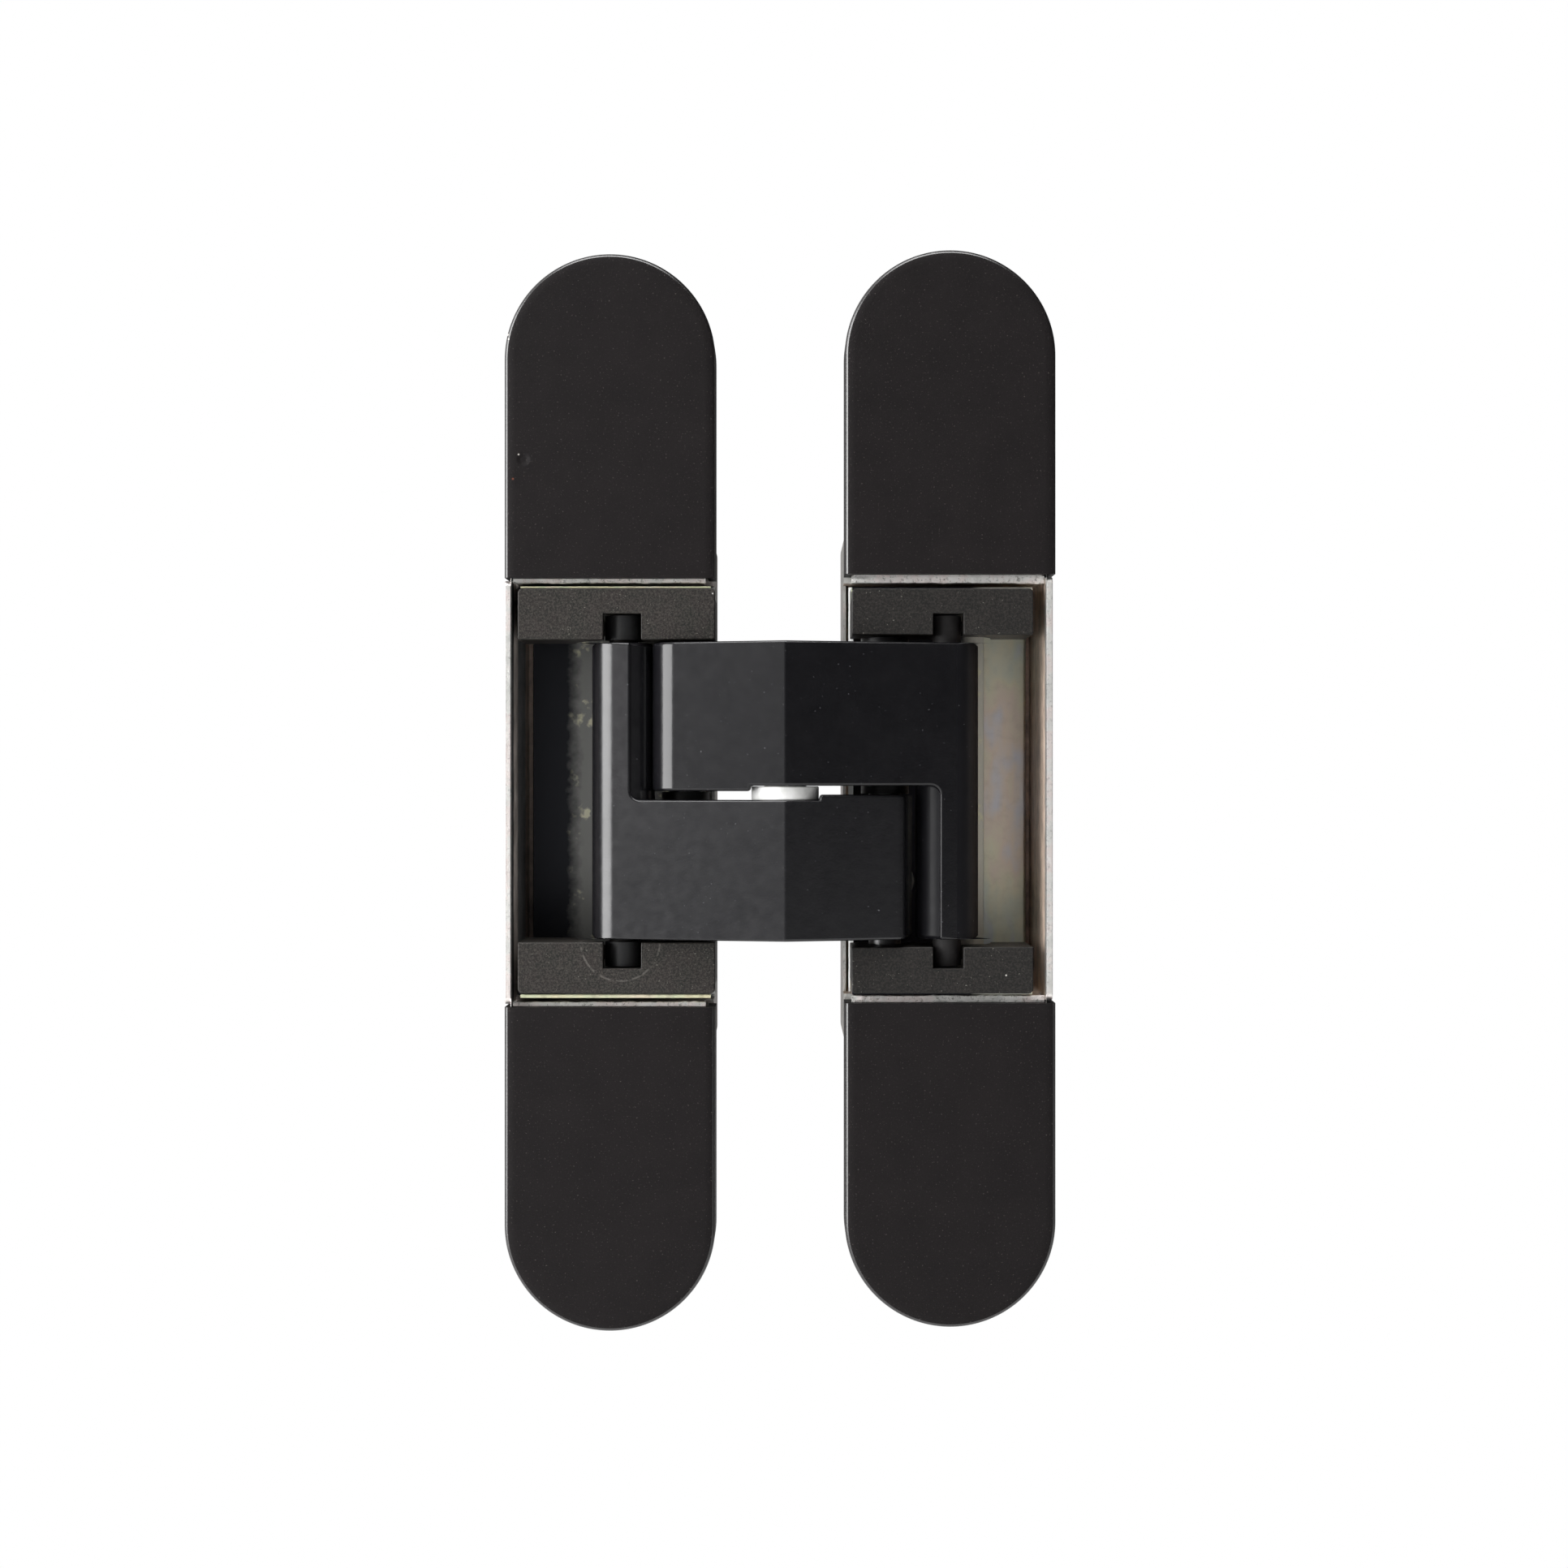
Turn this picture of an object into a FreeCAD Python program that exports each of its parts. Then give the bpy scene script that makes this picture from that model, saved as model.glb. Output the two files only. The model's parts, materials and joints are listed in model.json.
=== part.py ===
import FreeCAD, Part
import math
import os

os.makedirs("parts", exist_ok=True)

# A concealed door hinge, laid open at 180 degrees.
# Two die-cast cases are let into the frame and into the door edge. Each holds a folded steel
# bracket with two black guide blocks. Two arms cross on a centre pin: the short end of each
# turns on a pin deep in one half, and its tall end slides in the guide blocks of the other.
#
# X runs across the two halves, Y goes into the timber and Z is up. Sizes are worked out with
# X = 0 on the centre pin and Y = 0 on the visible faces. export() then moves everything, so
# that the origin is the centre of the frame half's fixing holes, on the backs of its wings.
# Both halves are drawn on the leaf's side, where X grows away from the centre pin, and the
# frame's is then mirrored.

# Where the two halves lie, with X measured from the centre pin away from the other half
frame_case_edge = 7.59
leaf_case_edge = 6.22
frame_case_lift = -0.16
leaf_case_lift = 0.25

# Caps
cap_overhang = 0.15
cap_end_margin = 8.2
cap_pocket_cover = 0.6
cap_plate = 2.0
cap_edge_round = 0.45
cap_skirt_wall = 0.8
cap_skirt_depth = 6.0
cap_peg_radius = 1.5
cap_peg_length = 8.0
cap_shift_x = 0.15

# Cases
case_width = 21.7
case_wall = 0.7
case_floor = 1.7
case_end_wall = 1.0
case_corner_radius = 1.5
pocket_corner = 0.3
cross_wall = 1.5
hinge_wall_depth = 10.2
hinge_wall_edge = 0.31
hinge_wall_bevel = 1.2
ear_front = 0.3
ear_overlap = 0.3
wing_depth = 12.5
wing_side_inset = 0.3
tray_depth = 8.0
tray_wall = 1.6
tray_gap = 0.3
first_hole = 2.0
hole_pitch = 6.0
screw_hole_radius = 2.3
screw_head_radius = 4.2
chamber_half_width = 5.0
chamber_length = 3.4
window_half_width = 4.2

# Brackets and slider plates
bracket_steel = 1.2
bracket_front = 1.5
bracket_bend = 1.0
bracket_end_gap = 0.45
carriage_step = 0.8
slider_steel = 1.45
slider_end_gap = 2.8
tongue_half_width = 3.2
tongue_end_gap = 0.5
clamp_radius = 1.25
clamp_head_radius = 1.6
clamp_head_height = 1.5
clamp_key_radius = 0.8
clamp_tip = 0.1
side_travel = 0.5
depth_travel = 0.5
bracket_screw_height = 10.0
bracket_screw_inset = 4.2
bracket_screw_radius = 1.5
bracket_screw_head_radius = 2.6
bracket_key_radius = 1.0
bracket_key_depth = 0.8

# Guide blocks, which stand out of the case by their overhang beside the other half
frame_block_overhang = 0.27
leaf_block_overhang = -0.73
frame_block_side_gap = 1.37
leaf_block_side_gap = 2.02
frame_block_arm_gap = 0.3
leaf_block_arm_gap = 0.8
frame_slot_width = 4.0
leaf_slot_width = 3.2
block_front = 0.3
block_outer_reach = 5.65
block_lip = 0.2
block_heel_gap = 0.4
block_heel_fit = 0.1
track_back_wall = 1.45
block_relief_depth = 10.5
block_relief_reach = 1.5
block_corner_radius = 0.5
block_edge_round = 0.15
block_peg_radius = 1.6
block_peg_depth = 13.0
block_peg_root = 0.5

# Linkage, as it lies open
fold_angle = 100.0
centre_height = 0.6
pivot_from_centre = 10.63
slide_from_centre = 17.03
slide_depth = 3.6
closed_gap = 3.5

# Arms
arm_top = 15.5
arm_mid = -0.2
tall_side_gap = 0.74
short_side_gap = 0.19
slide_barrel_radius = 3.3
pivot_barrel_radius = 2.9
barrel_chamfer = 0.3
ridge_height = 4.6
ridge_radius = 0.5
upper_shoulder = 14.0
upper_shoulder_front = 1.13
upper_shoulder_radius = 3.5
lower_shoulder = 12.6
lower_shoulder_front = 0.55
lower_shoulder_radius = 1.2
crotch_radius = 3.0
crotch_behind_centre = 2.6
tall_end_inner = 16.15
tall_end_flat = 3.22
tall_end_foot_radius = 0.3
corner_radius = 0.7
inner_corner = 1.0
step_from_centre = 3.6

# Pins, bushes and washers
centre_pin_radius = 2.2
centre_pin_inset = 0.3
centre_washer_radius = 3.5
pivot_pin_radius = 1.75
pivot_pin_reach = 3.7
bush_wall = 0.4
spacer_radius = 2.55
slide_pin_radius = 1.5
slide_pin_reach = 2.9
slide_pin_end_gap = 0.15
sleeve_end_gap = 0.35
least_sleeve_wall = 0.3

# Clearances
running_fit = 0.05
cap_fit = 0.15
end_play = 0.05
arm_clearance = 0.35

# How far cutting shapes reach past the faces they cut, and how closely edges are picked
past = 1.0
close = 0.01

cap_width = case_width + 2 * cap_overhang


class Half:
    """The sizes in which the two halves differ."""

    def __init__(self, name, side, case_edge, case_lift, block_overhang, block_side_gap,
                 block_arm_gap, slot_width, plate_gap):
        self.name = name
        self.side = side
        self.case_edge = case_edge
        self.case_lift = case_lift
        self.case_outer = case_edge + case_width
        self.case_middle = case_edge + case_width / 2
        self.block_edge = case_edge - block_overhang
        self.block_outer_edge = self.case_outer - block_side_gap
        self.block_inner = arm_top + block_arm_gap
        self.slot_width = slot_width
        self.plate_gap = plate_gap
        self.rear_edge = case_edge + case_wall + side_travel + running_fit


frame_half = Half("frame", -1, frame_case_edge, frame_case_lift, frame_block_overhang,
                  frame_block_side_gap, frame_block_arm_gap, frame_slot_width, 0)
leaf_half = Half("leaf", 1, leaf_case_edge, leaf_case_lift, leaf_block_overhang,
                 leaf_block_side_gap, leaf_block_arm_gap, leaf_slot_width,
                 depth_travel + end_play)

# The fixed pivots lie at the one depth that brings the closed halves to closed_gap
fold = math.radians(fold_angle)
pivot_depth = (pivot_from_centre * math.sin(fold) + centre_height * math.cos(fold)
               - closed_gap / 2) / (1 - math.cos(fold))


def plan_turn(x, y, degrees):
    """Turns a plan vector the way the leaf's side turns as it closes."""
    angle = math.radians(degrees)
    return (x * math.cos(angle) - y * math.sin(angle), x * math.sin(angle) + y * math.cos(angle))


def slide_point(share):
    """Where the sliding pin's axis is in its own half, 0 when open and 1 when closed."""
    near = plan_turn(-pivot_from_centre, -centre_height - pivot_depth, fold_angle * share)
    far = plan_turn(slide_from_centre, slide_depth + centre_height, (180 - fold_angle) * share)
    return (pivot_from_centre + near[0] + far[0], pivot_depth + near[1] + far[1])


# Depths, from the far end of the tracks back to the case's floor
block_back = slide_point(1)[1] + frame_half.slot_width / 2 + track_back_wall
bracket_floor = block_back + block_heel_gap
bracket_back = bracket_floor + bracket_steel
pocket_depth = bracket_back + slider_steel + end_play
case_depth = pocket_depth + case_floor
step_depth = hinge_wall_depth - carriage_step
skirt_step = cap_skirt_depth + cap_fit

bush_radius = pivot_pin_radius + running_fit + bush_wall

# Heights, from the arms' ends out to the caps' ends
slide_pin_end = arm_top + slide_pin_reach
slot_end = slide_pin_end + slide_pin_end_gap
pivot_pin_end = arm_top + pivot_pin_reach
centre_pin_end = arm_top - centre_pin_inset
block_relief = arm_top + block_relief_reach
block_outer = arm_top + block_outer_reach
bracket_half_height = block_outer + block_lip
pocket_half_height = bracket_half_height + bracket_end_gap
slider_half_height = pocket_half_height - slider_end_gap
ear_half_height = pocket_half_height + ear_overlap
cap_straight_edge = pocket_half_height + cap_pocket_cover
chamber_start = pocket_half_height + cross_wall
chamber_middle = chamber_start + chamber_length / 2
chamber_end = chamber_start + chamber_length
tongue_end = chamber_end - tongue_end_gap
case_box_half_height = chamber_end + case_end_wall
tray_start = case_box_half_height + tray_gap
peg_places = (tray_start + first_hole, tray_start + first_hole + 2 * hole_pitch)
screw_places = (peg_places[0] + hole_pitch, peg_places[1] + hole_pitch)
cap_half_length = screw_places[1] + cap_end_margin

origin = FreeCAD.Vector(-frame_half.case_middle, wing_depth, frame_half.case_lift)


def export(name, shape):
    """Moves one piece into the part's own frame and writes its file."""
    moved = shape.copy()
    moved.translate(-origin)
    moved.exportStep("parts/" + name + ".step")


def vector(x, y, z=0.0):
    return FreeCAD.Vector(x, y, z)


def block(x0, x1, y0, y1, z0, z1):
    return Part.makeBox(x1 - x0, y1 - y0, z1 - z0, vector(x0, y0, z0))


def upright(x, y, radius, z0, z1):
    """A cylinder along Z."""
    return Part.makeCylinder(radius, z1 - z0, vector(x, y, z0), vector(0, 0, 1))


def inward(x, z, radius, y0, y1):
    """A cylinder along Y."""
    return Part.makeCylinder(radius, y1 - y0, vector(x, y0, z), vector(0, 1, 0))


def countersink(x, z, small, large, y0):
    """A 90-degree cone that narrows along Y from its large radius."""
    return Part.makeCone(large, small, large - small, vector(x, y0, z), vector(0, 1, 0))


def upside_down(shape):
    return shape.mirror(vector(0, 0), vector(0, 0, 1))


def on_side(shape, half):
    """Puts a piece that is drawn on the leaf's side where it belongs."""
    if half.side > 0:
        return shape
    return shape.mirror(vector(0, 0), vector(1, 0))


def on_case(shape, half):
    """A case and its caps stand a little higher or lower than the linkage."""
    lifted = shape.copy()
    lifted.translate(vector(0, 0, half.case_lift))
    return on_side(lifted, half)


def belt(circles, z0, z1):
    """Extrudes the outline that runs round circles like a belt, counterclockwise.

    Each circle is (x, y, radius). A negative radius is a hollow corner.
    """
    count = len(circles)
    headings = []
    for index in range(count):
        x0, y0, r0 = circles[index]
        x1, y1, r1 = circles[(index + 1) % count]
        distance = math.hypot(x1 - x0, y1 - y0)
        headings.append(math.atan2(y1 - y0, x1 - x0) - math.asin((r1 - r0) / distance))
    arcs = []
    for index in range(count):
        x, y, radius = circles[index]
        start = headings[index - 1]
        turn = (headings[index] - start) % (2 * math.pi)
        if radius < 0:
            turn -= 2 * math.pi
        angles = (start, start + turn / 2, start + turn)
        arcs.append([vector(x + radius * math.sin(a), y - radius * math.cos(a), z0)
                     for a in angles])
    edges = []
    for index in range(count):
        edges.append(Part.Arc(*arcs[index]).toShape())
        edges.append(Part.makeLine(arcs[index][2], arcs[(index + 1) % count][0]))
    return Part.Face(Part.Wire(edges)).extrude(vector(0, 0, z1 - z0))


def silhouette(points, y0, y1):
    """Extrudes a polygon in XZ along Y. Each point is (x, z, corner radius)."""
    count = len(points)
    edges = []
    last = None
    first = None
    for index in range(count):
        x, z, radius = points[index]
        here = vector(x, y0, z)
        if radius == 0:
            entry = here
            leave = here
        else:
            before = vector(points[index - 1][0], y0, points[index - 1][1])
            after = vector(points[(index + 1) % count][0], y0, points[(index + 1) % count][1])
            back = (before - here).normalize()
            ahead = (after - here).normalize()
            half_angle = back.getAngle(ahead) / 2
            entry = here + back * (radius / math.tan(half_angle))
            leave = here + ahead * (radius / math.tan(half_angle))
            towards = (back + ahead).normalize()
            middle = here + towards * (radius / math.sin(half_angle) - radius)
        if last is not None:
            edges.append(Part.makeLine(last, entry))
        if radius != 0:
            edges.append(Part.Arc(entry, middle, leave).toShape())
        if first is None:
            first = entry
        last = leave
    edges.append(Part.makeLine(last, first))
    return Part.Face(Part.Wire(edges)).extrude(vector(0, y1 - y0, 0))


def round_ended(middle, width, start, end, y0, y1):
    """A plate from a straight edge at Z = start to a half-round end at Z = end."""
    radius = width / 2
    low = middle - radius
    high = middle + radius
    straight = end - radius
    edges = [
        Part.makeLine(vector(low, y0, straight), vector(low, y0, start)),
        Part.makeLine(vector(low, y0, start), vector(high, y0, start)),
        Part.makeLine(vector(high, y0, start), vector(high, y0, straight)),
        Part.Arc(vector(high, y0, straight), vector(middle, y0, end),
                 vector(low, y0, straight)).toShape(),
    ]
    return Part.Face(Part.Wire(edges)).extrude(vector(0, y1 - y0, 0))


def rounded_box(x0, x1, y0, y1, z0, z1, radius):
    """A box whose four edges along Y are rounded."""
    points = [(x0, z0, radius), (x1, z0, radius), (x1, z1, radius), (x0, z1, radius)]
    return silhouette(points, y0, y1)


def wing(half):
    """Half of the case's shallow part: rim, step for the cap's skirt, tray and holes."""
    middle = half.case_middle
    width = case_width - 2 * wing_side_inset
    rim_width = cap_width - 2 * (cap_skirt_wall + cap_fit) - 2 * cap_shift_x
    end = cap_half_length - (cap_width - width) / 2
    rim_end = cap_half_length - (cap_width - rim_width) / 2
    body = round_ended(middle, width, pocket_half_height, end, skirt_step, wing_depth)
    rim = round_ended(middle, rim_width, pocket_half_height, rim_end, cap_plate, wing_depth)
    tray = round_ended(middle, rim_width - 2 * tray_wall, tray_start, rim_end - tray_wall,
                       0, tray_depth)
    shape = body.fuse(rim).cut(tray)
    for place in screw_places:
        shape = shape.cut(inward(middle, place, screw_hole_radius, 0, wing_depth + past))
        shape = shape.cut(countersink(middle, place, screw_hole_radius, screw_head_radius,
                                      tray_depth))
    for place in peg_places:
        shape = shape.cut(inward(middle, place, cap_peg_radius + cap_fit, 0,
                                 cap_plate + cap_peg_length + cap_fit))
    return shape


def hinge_wall_cut(half):
    """Lowers the pocket's wall beside the other half and bevels its inner side."""
    pocket_in = half.case_edge + case_wall
    opening = block(half.case_edge - past, pocket_in + pocket_corner, -past, hinge_wall_depth,
                    -pocket_half_height, pocket_half_height)
    corners = [
        vector(half.case_edge + hinge_wall_edge, hinge_wall_depth, -pocket_half_height),
        vector(pocket_in + pocket_corner, hinge_wall_depth, -pocket_half_height),
        vector(pocket_in, hinge_wall_depth + hinge_wall_bevel, -pocket_half_height),
    ]
    bevel = Part.Face(Part.makePolygon(corners + corners[:1]))
    return opening.fuse(bevel.extrude(vector(0, 0, 2 * pocket_half_height)))


def case(half):
    """One die-cast case: a deep box for the carriage between two round-ended wings."""
    middle = half.case_middle
    pocket_in = half.case_edge + case_wall
    pocket_out = half.case_outer - case_wall
    box = rounded_box(half.case_edge, half.case_outer, skirt_step, case_depth,
                      -case_box_half_height, case_box_half_height, case_corner_radius)
    top = wing(half)
    shape = box.fuse([top, upside_down(top)])
    shape = shape.cut(rounded_box(pocket_in, pocket_out, -past, pocket_depth,
                                  -pocket_half_height, pocket_half_height,
                                  pocket_corner))
    ear = block(pocket_out, half.case_outer, ear_front, skirt_step + past,
                -ear_half_height, ear_half_height)
    corners = [edge for edge in ear.Edges
               if all(abs(v.Y - ear_front) < close for v in edge.Vertexes)
               and abs(edge.Vertexes[0].Z - edge.Vertexes[1].Z) < close]
    ear = ear.makeFillet(corner_radius, corners)
    shape = shape.fuse(ear).cut(hinge_wall_cut(half))
    for side in (-1, 1):
        ends = sorted((side * chamber_start, side * chamber_end))
        shape = shape.cut(block(middle - chamber_half_width, middle + chamber_half_width,
                                0, pocket_depth, ends[0], ends[1]))
        ends = sorted((side * (pocket_half_height - past), side * (chamber_start + past)))
        shape = shape.cut(block(middle - window_half_width, middle + window_half_width,
                                bracket_back, pocket_depth, ends[0], ends[1]))
        shape = shape.cut(inward(middle, side * chamber_middle, clamp_radius,
                                 pocket_depth - past, case_depth + past))
    return on_case(shape.removeSplitter(), half)


def cap(half):
    """One snap-on cap: a plate with a rounded edge, a skirt and two pegs."""
    middle = half.case_middle + half.side * cap_shift_x
    plate = round_ended(middle, cap_width, cap_straight_edge, cap_half_length,
                        0, cap_skirt_depth)
    front = [edge for edge in plate.Edges
             if edge.BoundBox.YMax < close and edge.BoundBox.ZMax > cap_straight_edge + close]
    plate = plate.makeFillet(cap_edge_round, front)
    hollow = round_ended(middle, cap_width - 2 * cap_skirt_wall, cap_straight_edge - past,
                         cap_half_length - cap_skirt_wall, cap_plate, cap_skirt_depth + past)
    shape = plate.cut(hollow)
    for place in peg_places:
        shape = shape.fuse(inward(half.case_middle, place, cap_peg_radius, cap_plate / 2,
                                  cap_plate + cap_peg_length))
    return shape.removeSplitter()


def clamp_screws(half):
    """Two screws under the caps that hold the slider plate to the case's floor."""
    head_back = bracket_back + half.plate_gap - end_play
    head_front = head_back - clamp_head_height
    screws = []
    for z in (-chamber_middle, chamber_middle):
        head = inward(half.case_middle, z, clamp_head_radius, head_front, head_back)
        socket = hexagon(half.case_middle, z, clamp_key_radius, head_front - past,
                         head_back - clamp_head_height / 3)
        shank = inward(half.case_middle, z, clamp_radius, head_back, case_depth - clamp_tip)
        screws.append(head.fuse(shank).cut(socket))
    return on_case(Part.makeCompound(screws), half)


def hexagon(x, z, radius, y0, y1):
    """A hexagonal key socket along Y."""
    points = [(x + radius * math.cos(math.radians(60 * i)),
               z + radius * math.sin(math.radians(60 * i)), 0) for i in range(6)]
    return silhouette(points, y0, y1)


def step_cut(half):
    """What is cut off behind step_depth, to clear the case's hinge-side wall."""
    return block(half.block_edge - past, half.rear_edge, step_depth, case_depth + past,
                 -case_box_half_height, case_box_half_height)


def bracket(half):
    """One folded steel channel: a back plate and two end flanges with rounded bends."""
    low = half.block_edge
    outer = rounded_channel(low, half.block_outer_edge, bracket_front, bracket_back,
                            bracket_half_height, bracket_bend + bracket_steel)
    inner = rounded_channel(low - past, half.block_outer_edge + past, bracket_front - past,
                            bracket_floor, bracket_half_height - bracket_steel, bracket_bend)
    shape = outer.cut(inner).cut(step_cut(half))
    for z in (-bracket_screw_height, bracket_screw_height):
        x = half.rear_edge + bracket_screw_inset
        shape = shape.cut(inward(x, z, bracket_screw_radius + running_fit,
                                 bracket_floor - past, bracket_back + past))
        shape = shape.cut(countersink(x, z, bracket_screw_radius + running_fit,
                                      bracket_screw_head_radius, bracket_floor))
    shape = shape.cut(upright((low + half.block_outer_edge) / 2, block_peg_depth,
                              block_peg_radius, -bracket_half_height - past,
                              bracket_half_height + past))
    return on_side(shape, half)


def rounded_channel(x0, x1, y0, y1, half_height, radius):
    """A bar along X that is open to the front and rounded at its two back edges."""
    shape = block(x0, x1, y0, y1, -half_height, half_height)
    back = [edge for edge in shape.Edges
            if edge.BoundBox.YMin > y1 - close and edge.BoundBox.XLength > close]
    return shape.makeFillet(radius, back)


def bracket_screws(half):
    """Two flat-headed screws from the bracket's back plate into the slider plate."""
    screws = []
    x = half.rear_edge + bracket_screw_inset
    cone = bracket_screw_head_radius - bracket_screw_radius - running_fit
    for z in (-bracket_screw_height, bracket_screw_height):
        head = countersink(x, z, bracket_screw_head_radius - cone,
                           bracket_screw_head_radius, bracket_floor)
        shank = inward(x, z, bracket_screw_radius, bracket_floor,
                       pocket_depth - depth_travel - 2 * end_play)
        socket = hexagon(x, z, bracket_key_radius, bracket_floor - past,
                         bracket_floor + bracket_key_depth)
        screws.append(head.fuse(shank).cut(socket))
    return on_side(Part.makeCompound(screws), half)


def slider_plate(half):
    """The plate between bracket and case floor, with a slotted tongue under each cap."""
    front = bracket_back + half.plate_gap
    back = pocket_depth - end_play
    middle = half.case_middle
    shape = block(half.rear_edge, half.block_outer_edge, front, back,
                  -slider_half_height, slider_half_height)
    shape = shape.fuse(block(middle - tongue_half_width, middle + tongue_half_width,
                             front, back, -tongue_end, tongue_end))
    room = clamp_radius + max(abs(frame_half.case_lift), abs(leaf_half.case_lift)) + 2 * running_fit
    reach = clamp_radius + side_travel + 2 * running_fit
    for z in (-chamber_middle, chamber_middle):
        shape = shape.cut(block(middle - reach, middle + reach, front - past, back + past,
                                z - room, z + room))
    x = half.rear_edge + bracket_screw_inset
    for z in (-bracket_screw_height, bracket_screw_height):
        shape = shape.cut(inward(x, z, bracket_screw_radius + running_fit,
                                 front - past, back + past))
    return on_side(shape.removeSplitter(), half)


def track(half):
    """The curved slot that the sliding pin follows, open to the front as a straight notch."""
    radius = half.slot_width / 2
    steps = 10
    share = 0.001
    sides = ([], [])
    for step in range(steps + 1):
        x, y = slide_point(step / steps)
        ahead = slide_point(step / steps + share)
        behind = slide_point(step / steps - share)
        length = math.hypot(ahead[0] - behind[0], ahead[1] - behind[1])
        along = ((ahead[0] - behind[0]) / length, (ahead[1] - behind[1]) / length)
        for side, sign in zip(sides, (1, -1)):
            side.append(vector(x - sign * along[1] * radius, y + sign * along[0] * radius))
    end_x, end_y = slide_point(1)
    tip = vector(end_x + along[0] * radius, end_y + along[1] * radius)
    edges = []
    for side in sides:
        curve = Part.BSplineCurve()
        curve.interpolate(side)
        edges.append(curve.toShape())
    edges.append(Part.Arc(sides[0][-1], tip, sides[1][-1]).toShape())
    edges.append(Part.makeLine(sides[0][0], sides[1][0]))
    curved = Part.Face(Part.Wire(Part.__sortEdges__(edges))).extrude(vector(0, 0, slot_end))
    start_x, start_y = slide_point(0)
    notch = block(start_x - radius, start_x + radius, -past, start_y, 0, slot_end)
    root = upright(start_x, start_y, radius, 0, slot_end)
    return curved.fuse([notch, root])


def guide_block(half):
    """One moulded guide block with its lip, curved track, pin hole and dowel."""
    low = half.block_edge
    high = half.block_outer_edge
    flange = bracket_half_height - bracket_steel
    body = block(low, high, block_front, block_back, half.block_inner, flange)
    lip = block(low, high, block_front, bracket_front, flange, block_outer)
    shape = body.fuse(lip).removeSplitter()
    uprights = [edge for edge in shape.Edges
                if edge.BoundBox.XLength < close and edge.BoundBox.ZLength < close
                and edge.BoundBox.YMin < block_front + close
                and edge.BoundBox.ZMin > flange + close]
    shape = shape.makeFillet(block_corner_radius, uprights)
    front = [edge for edge in shape.Edges if edge.BoundBox.YMax < block_front + close]
    shape = shape.makeFillet(block_edge_round, front)
    heel = [edge for edge in shape.Edges
            if edge.BoundBox.XLength > close and edge.BoundBox.YMin > block_back - close
            and edge.BoundBox.ZMin > flange - close]
    shape = shape.makeFillet(bracket_bend + block_heel_fit, heel)
    shape = shape.cut(step_cut(half))
    shape = shape.cut(block(low - past, high + past, block_relief_depth, case_depth,
                            arm_top, block_relief))
    shape = shape.cut(track(half))
    shape = shape.cut(upright(pivot_from_centre, pivot_depth, pivot_pin_radius, 0,
                              pivot_pin_end + end_play))
    shape = shape.fuse(upright((low + high) / 2, block_peg_depth, block_peg_radius,
                               flange - block_peg_root, bracket_half_height))
    return shape.removeSplitter()


def pivot_pin(half):
    return on_side(upright(pivot_from_centre, pivot_depth, pivot_pin_radius,
                           -pivot_pin_end, pivot_pin_end), half)


def tube(x, y, outer, inner, z0, z1):
    return upright(x, y, outer, z0, z1).cut(upright(x, y, inner, z0 - past, z1 + past))


def pivot_spacer(half):
    """The sleeve that fills the pivot pin's other half and carries the arm's end."""
    bore = pivot_pin_radius + running_fit
    near = arm_mid - half.side * short_side_gap + half.side * 2 * end_play
    far = half.side * (half.block_inner - end_play)
    ends = sorted((near, far))
    return on_side(tube(pivot_from_centre, pivot_depth, spacer_radius, bore,
                        ends[0], ends[1]), half)


def arm(shoulder, shoulder_front, shoulder_radius, middle):
    """One arm, drawn as the upper one: short end to the left, tall end to the right.

    The outline seen from above runs round the ridge, the sliding barrel, the hollow that
    clears the other arm's pivot, the hollow behind the centre pin, the pivot barrel and the
    shoulder. It is then trimmed to the stepped L that shows from the front, and the full
    sliding barrel is added beside the flat of the tall end.
    """
    outline = belt([
        (0.0, ridge_radius - ridge_height, ridge_radius),
        (slide_from_centre, slide_depth, slide_barrel_radius),
        (pivot_from_centre, pivot_depth, -spacer_radius - arm_clearance),
        (0.0, crotch_behind_centre - centre_height + crotch_radius, -crotch_radius),
        (-pivot_from_centre, pivot_depth, pivot_barrel_radius),
        (shoulder_radius - shoulder, shoulder_radius - shoulder_front, shoulder_radius),
    ], -arm_top - past, arm_top + past)
    high = middle + tall_side_gap
    low = middle + short_side_gap
    left = -max(shoulder, pivot_from_centre + pivot_barrel_radius) - past
    right = slide_from_centre + tall_end_flat
    shape = outline.common(silhouette([
        (left, arm_top, 0),
        (right, arm_top, corner_radius),
        (right, -arm_top, corner_radius),
        (tall_end_inner, -arm_top, tall_end_foot_radius),
        (tall_end_inner, high, inner_corner),
        (-step_from_centre, high, 0),
        (-step_from_centre, low, 0),
        (left, low, 0),
    ], -ridge_height - past, case_depth))
    barrel = upright(slide_from_centre, slide_depth, slide_barrel_radius, -arm_top, arm_top)
    rims = [edge for edge in barrel.Edges if edge.BoundBox.ZLength < close]
    shape = shape.fuse(barrel.makeChamfer(barrel_chamfer, rims)).removeSplitter()
    return shape.cut(upright(-slide_from_centre, slide_depth,
                             slide_barrel_radius + arm_clearance,
                             -arm_top - past, arm_top + past))


def bored_arm(shape, centre_hole):
    """Bores the three holes of an arm."""
    reach = arm_top + past
    shape = shape.cut(upright(0, -centre_height, centre_hole, -reach, reach))
    shape = shape.cut(upright(-pivot_from_centre, pivot_depth, bush_radius, -reach, reach))
    return shape.cut(upright(slide_from_centre, slide_depth, slide_pin_radius, -reach, reach))


def turned_over(shape):
    """The lower arm is drawn as an upper one, then turned half round facing the camera."""
    return shape.mirror(vector(0, 0), vector(1, 0)).mirror(vector(0, 0), vector(0, 0, 1))


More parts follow.
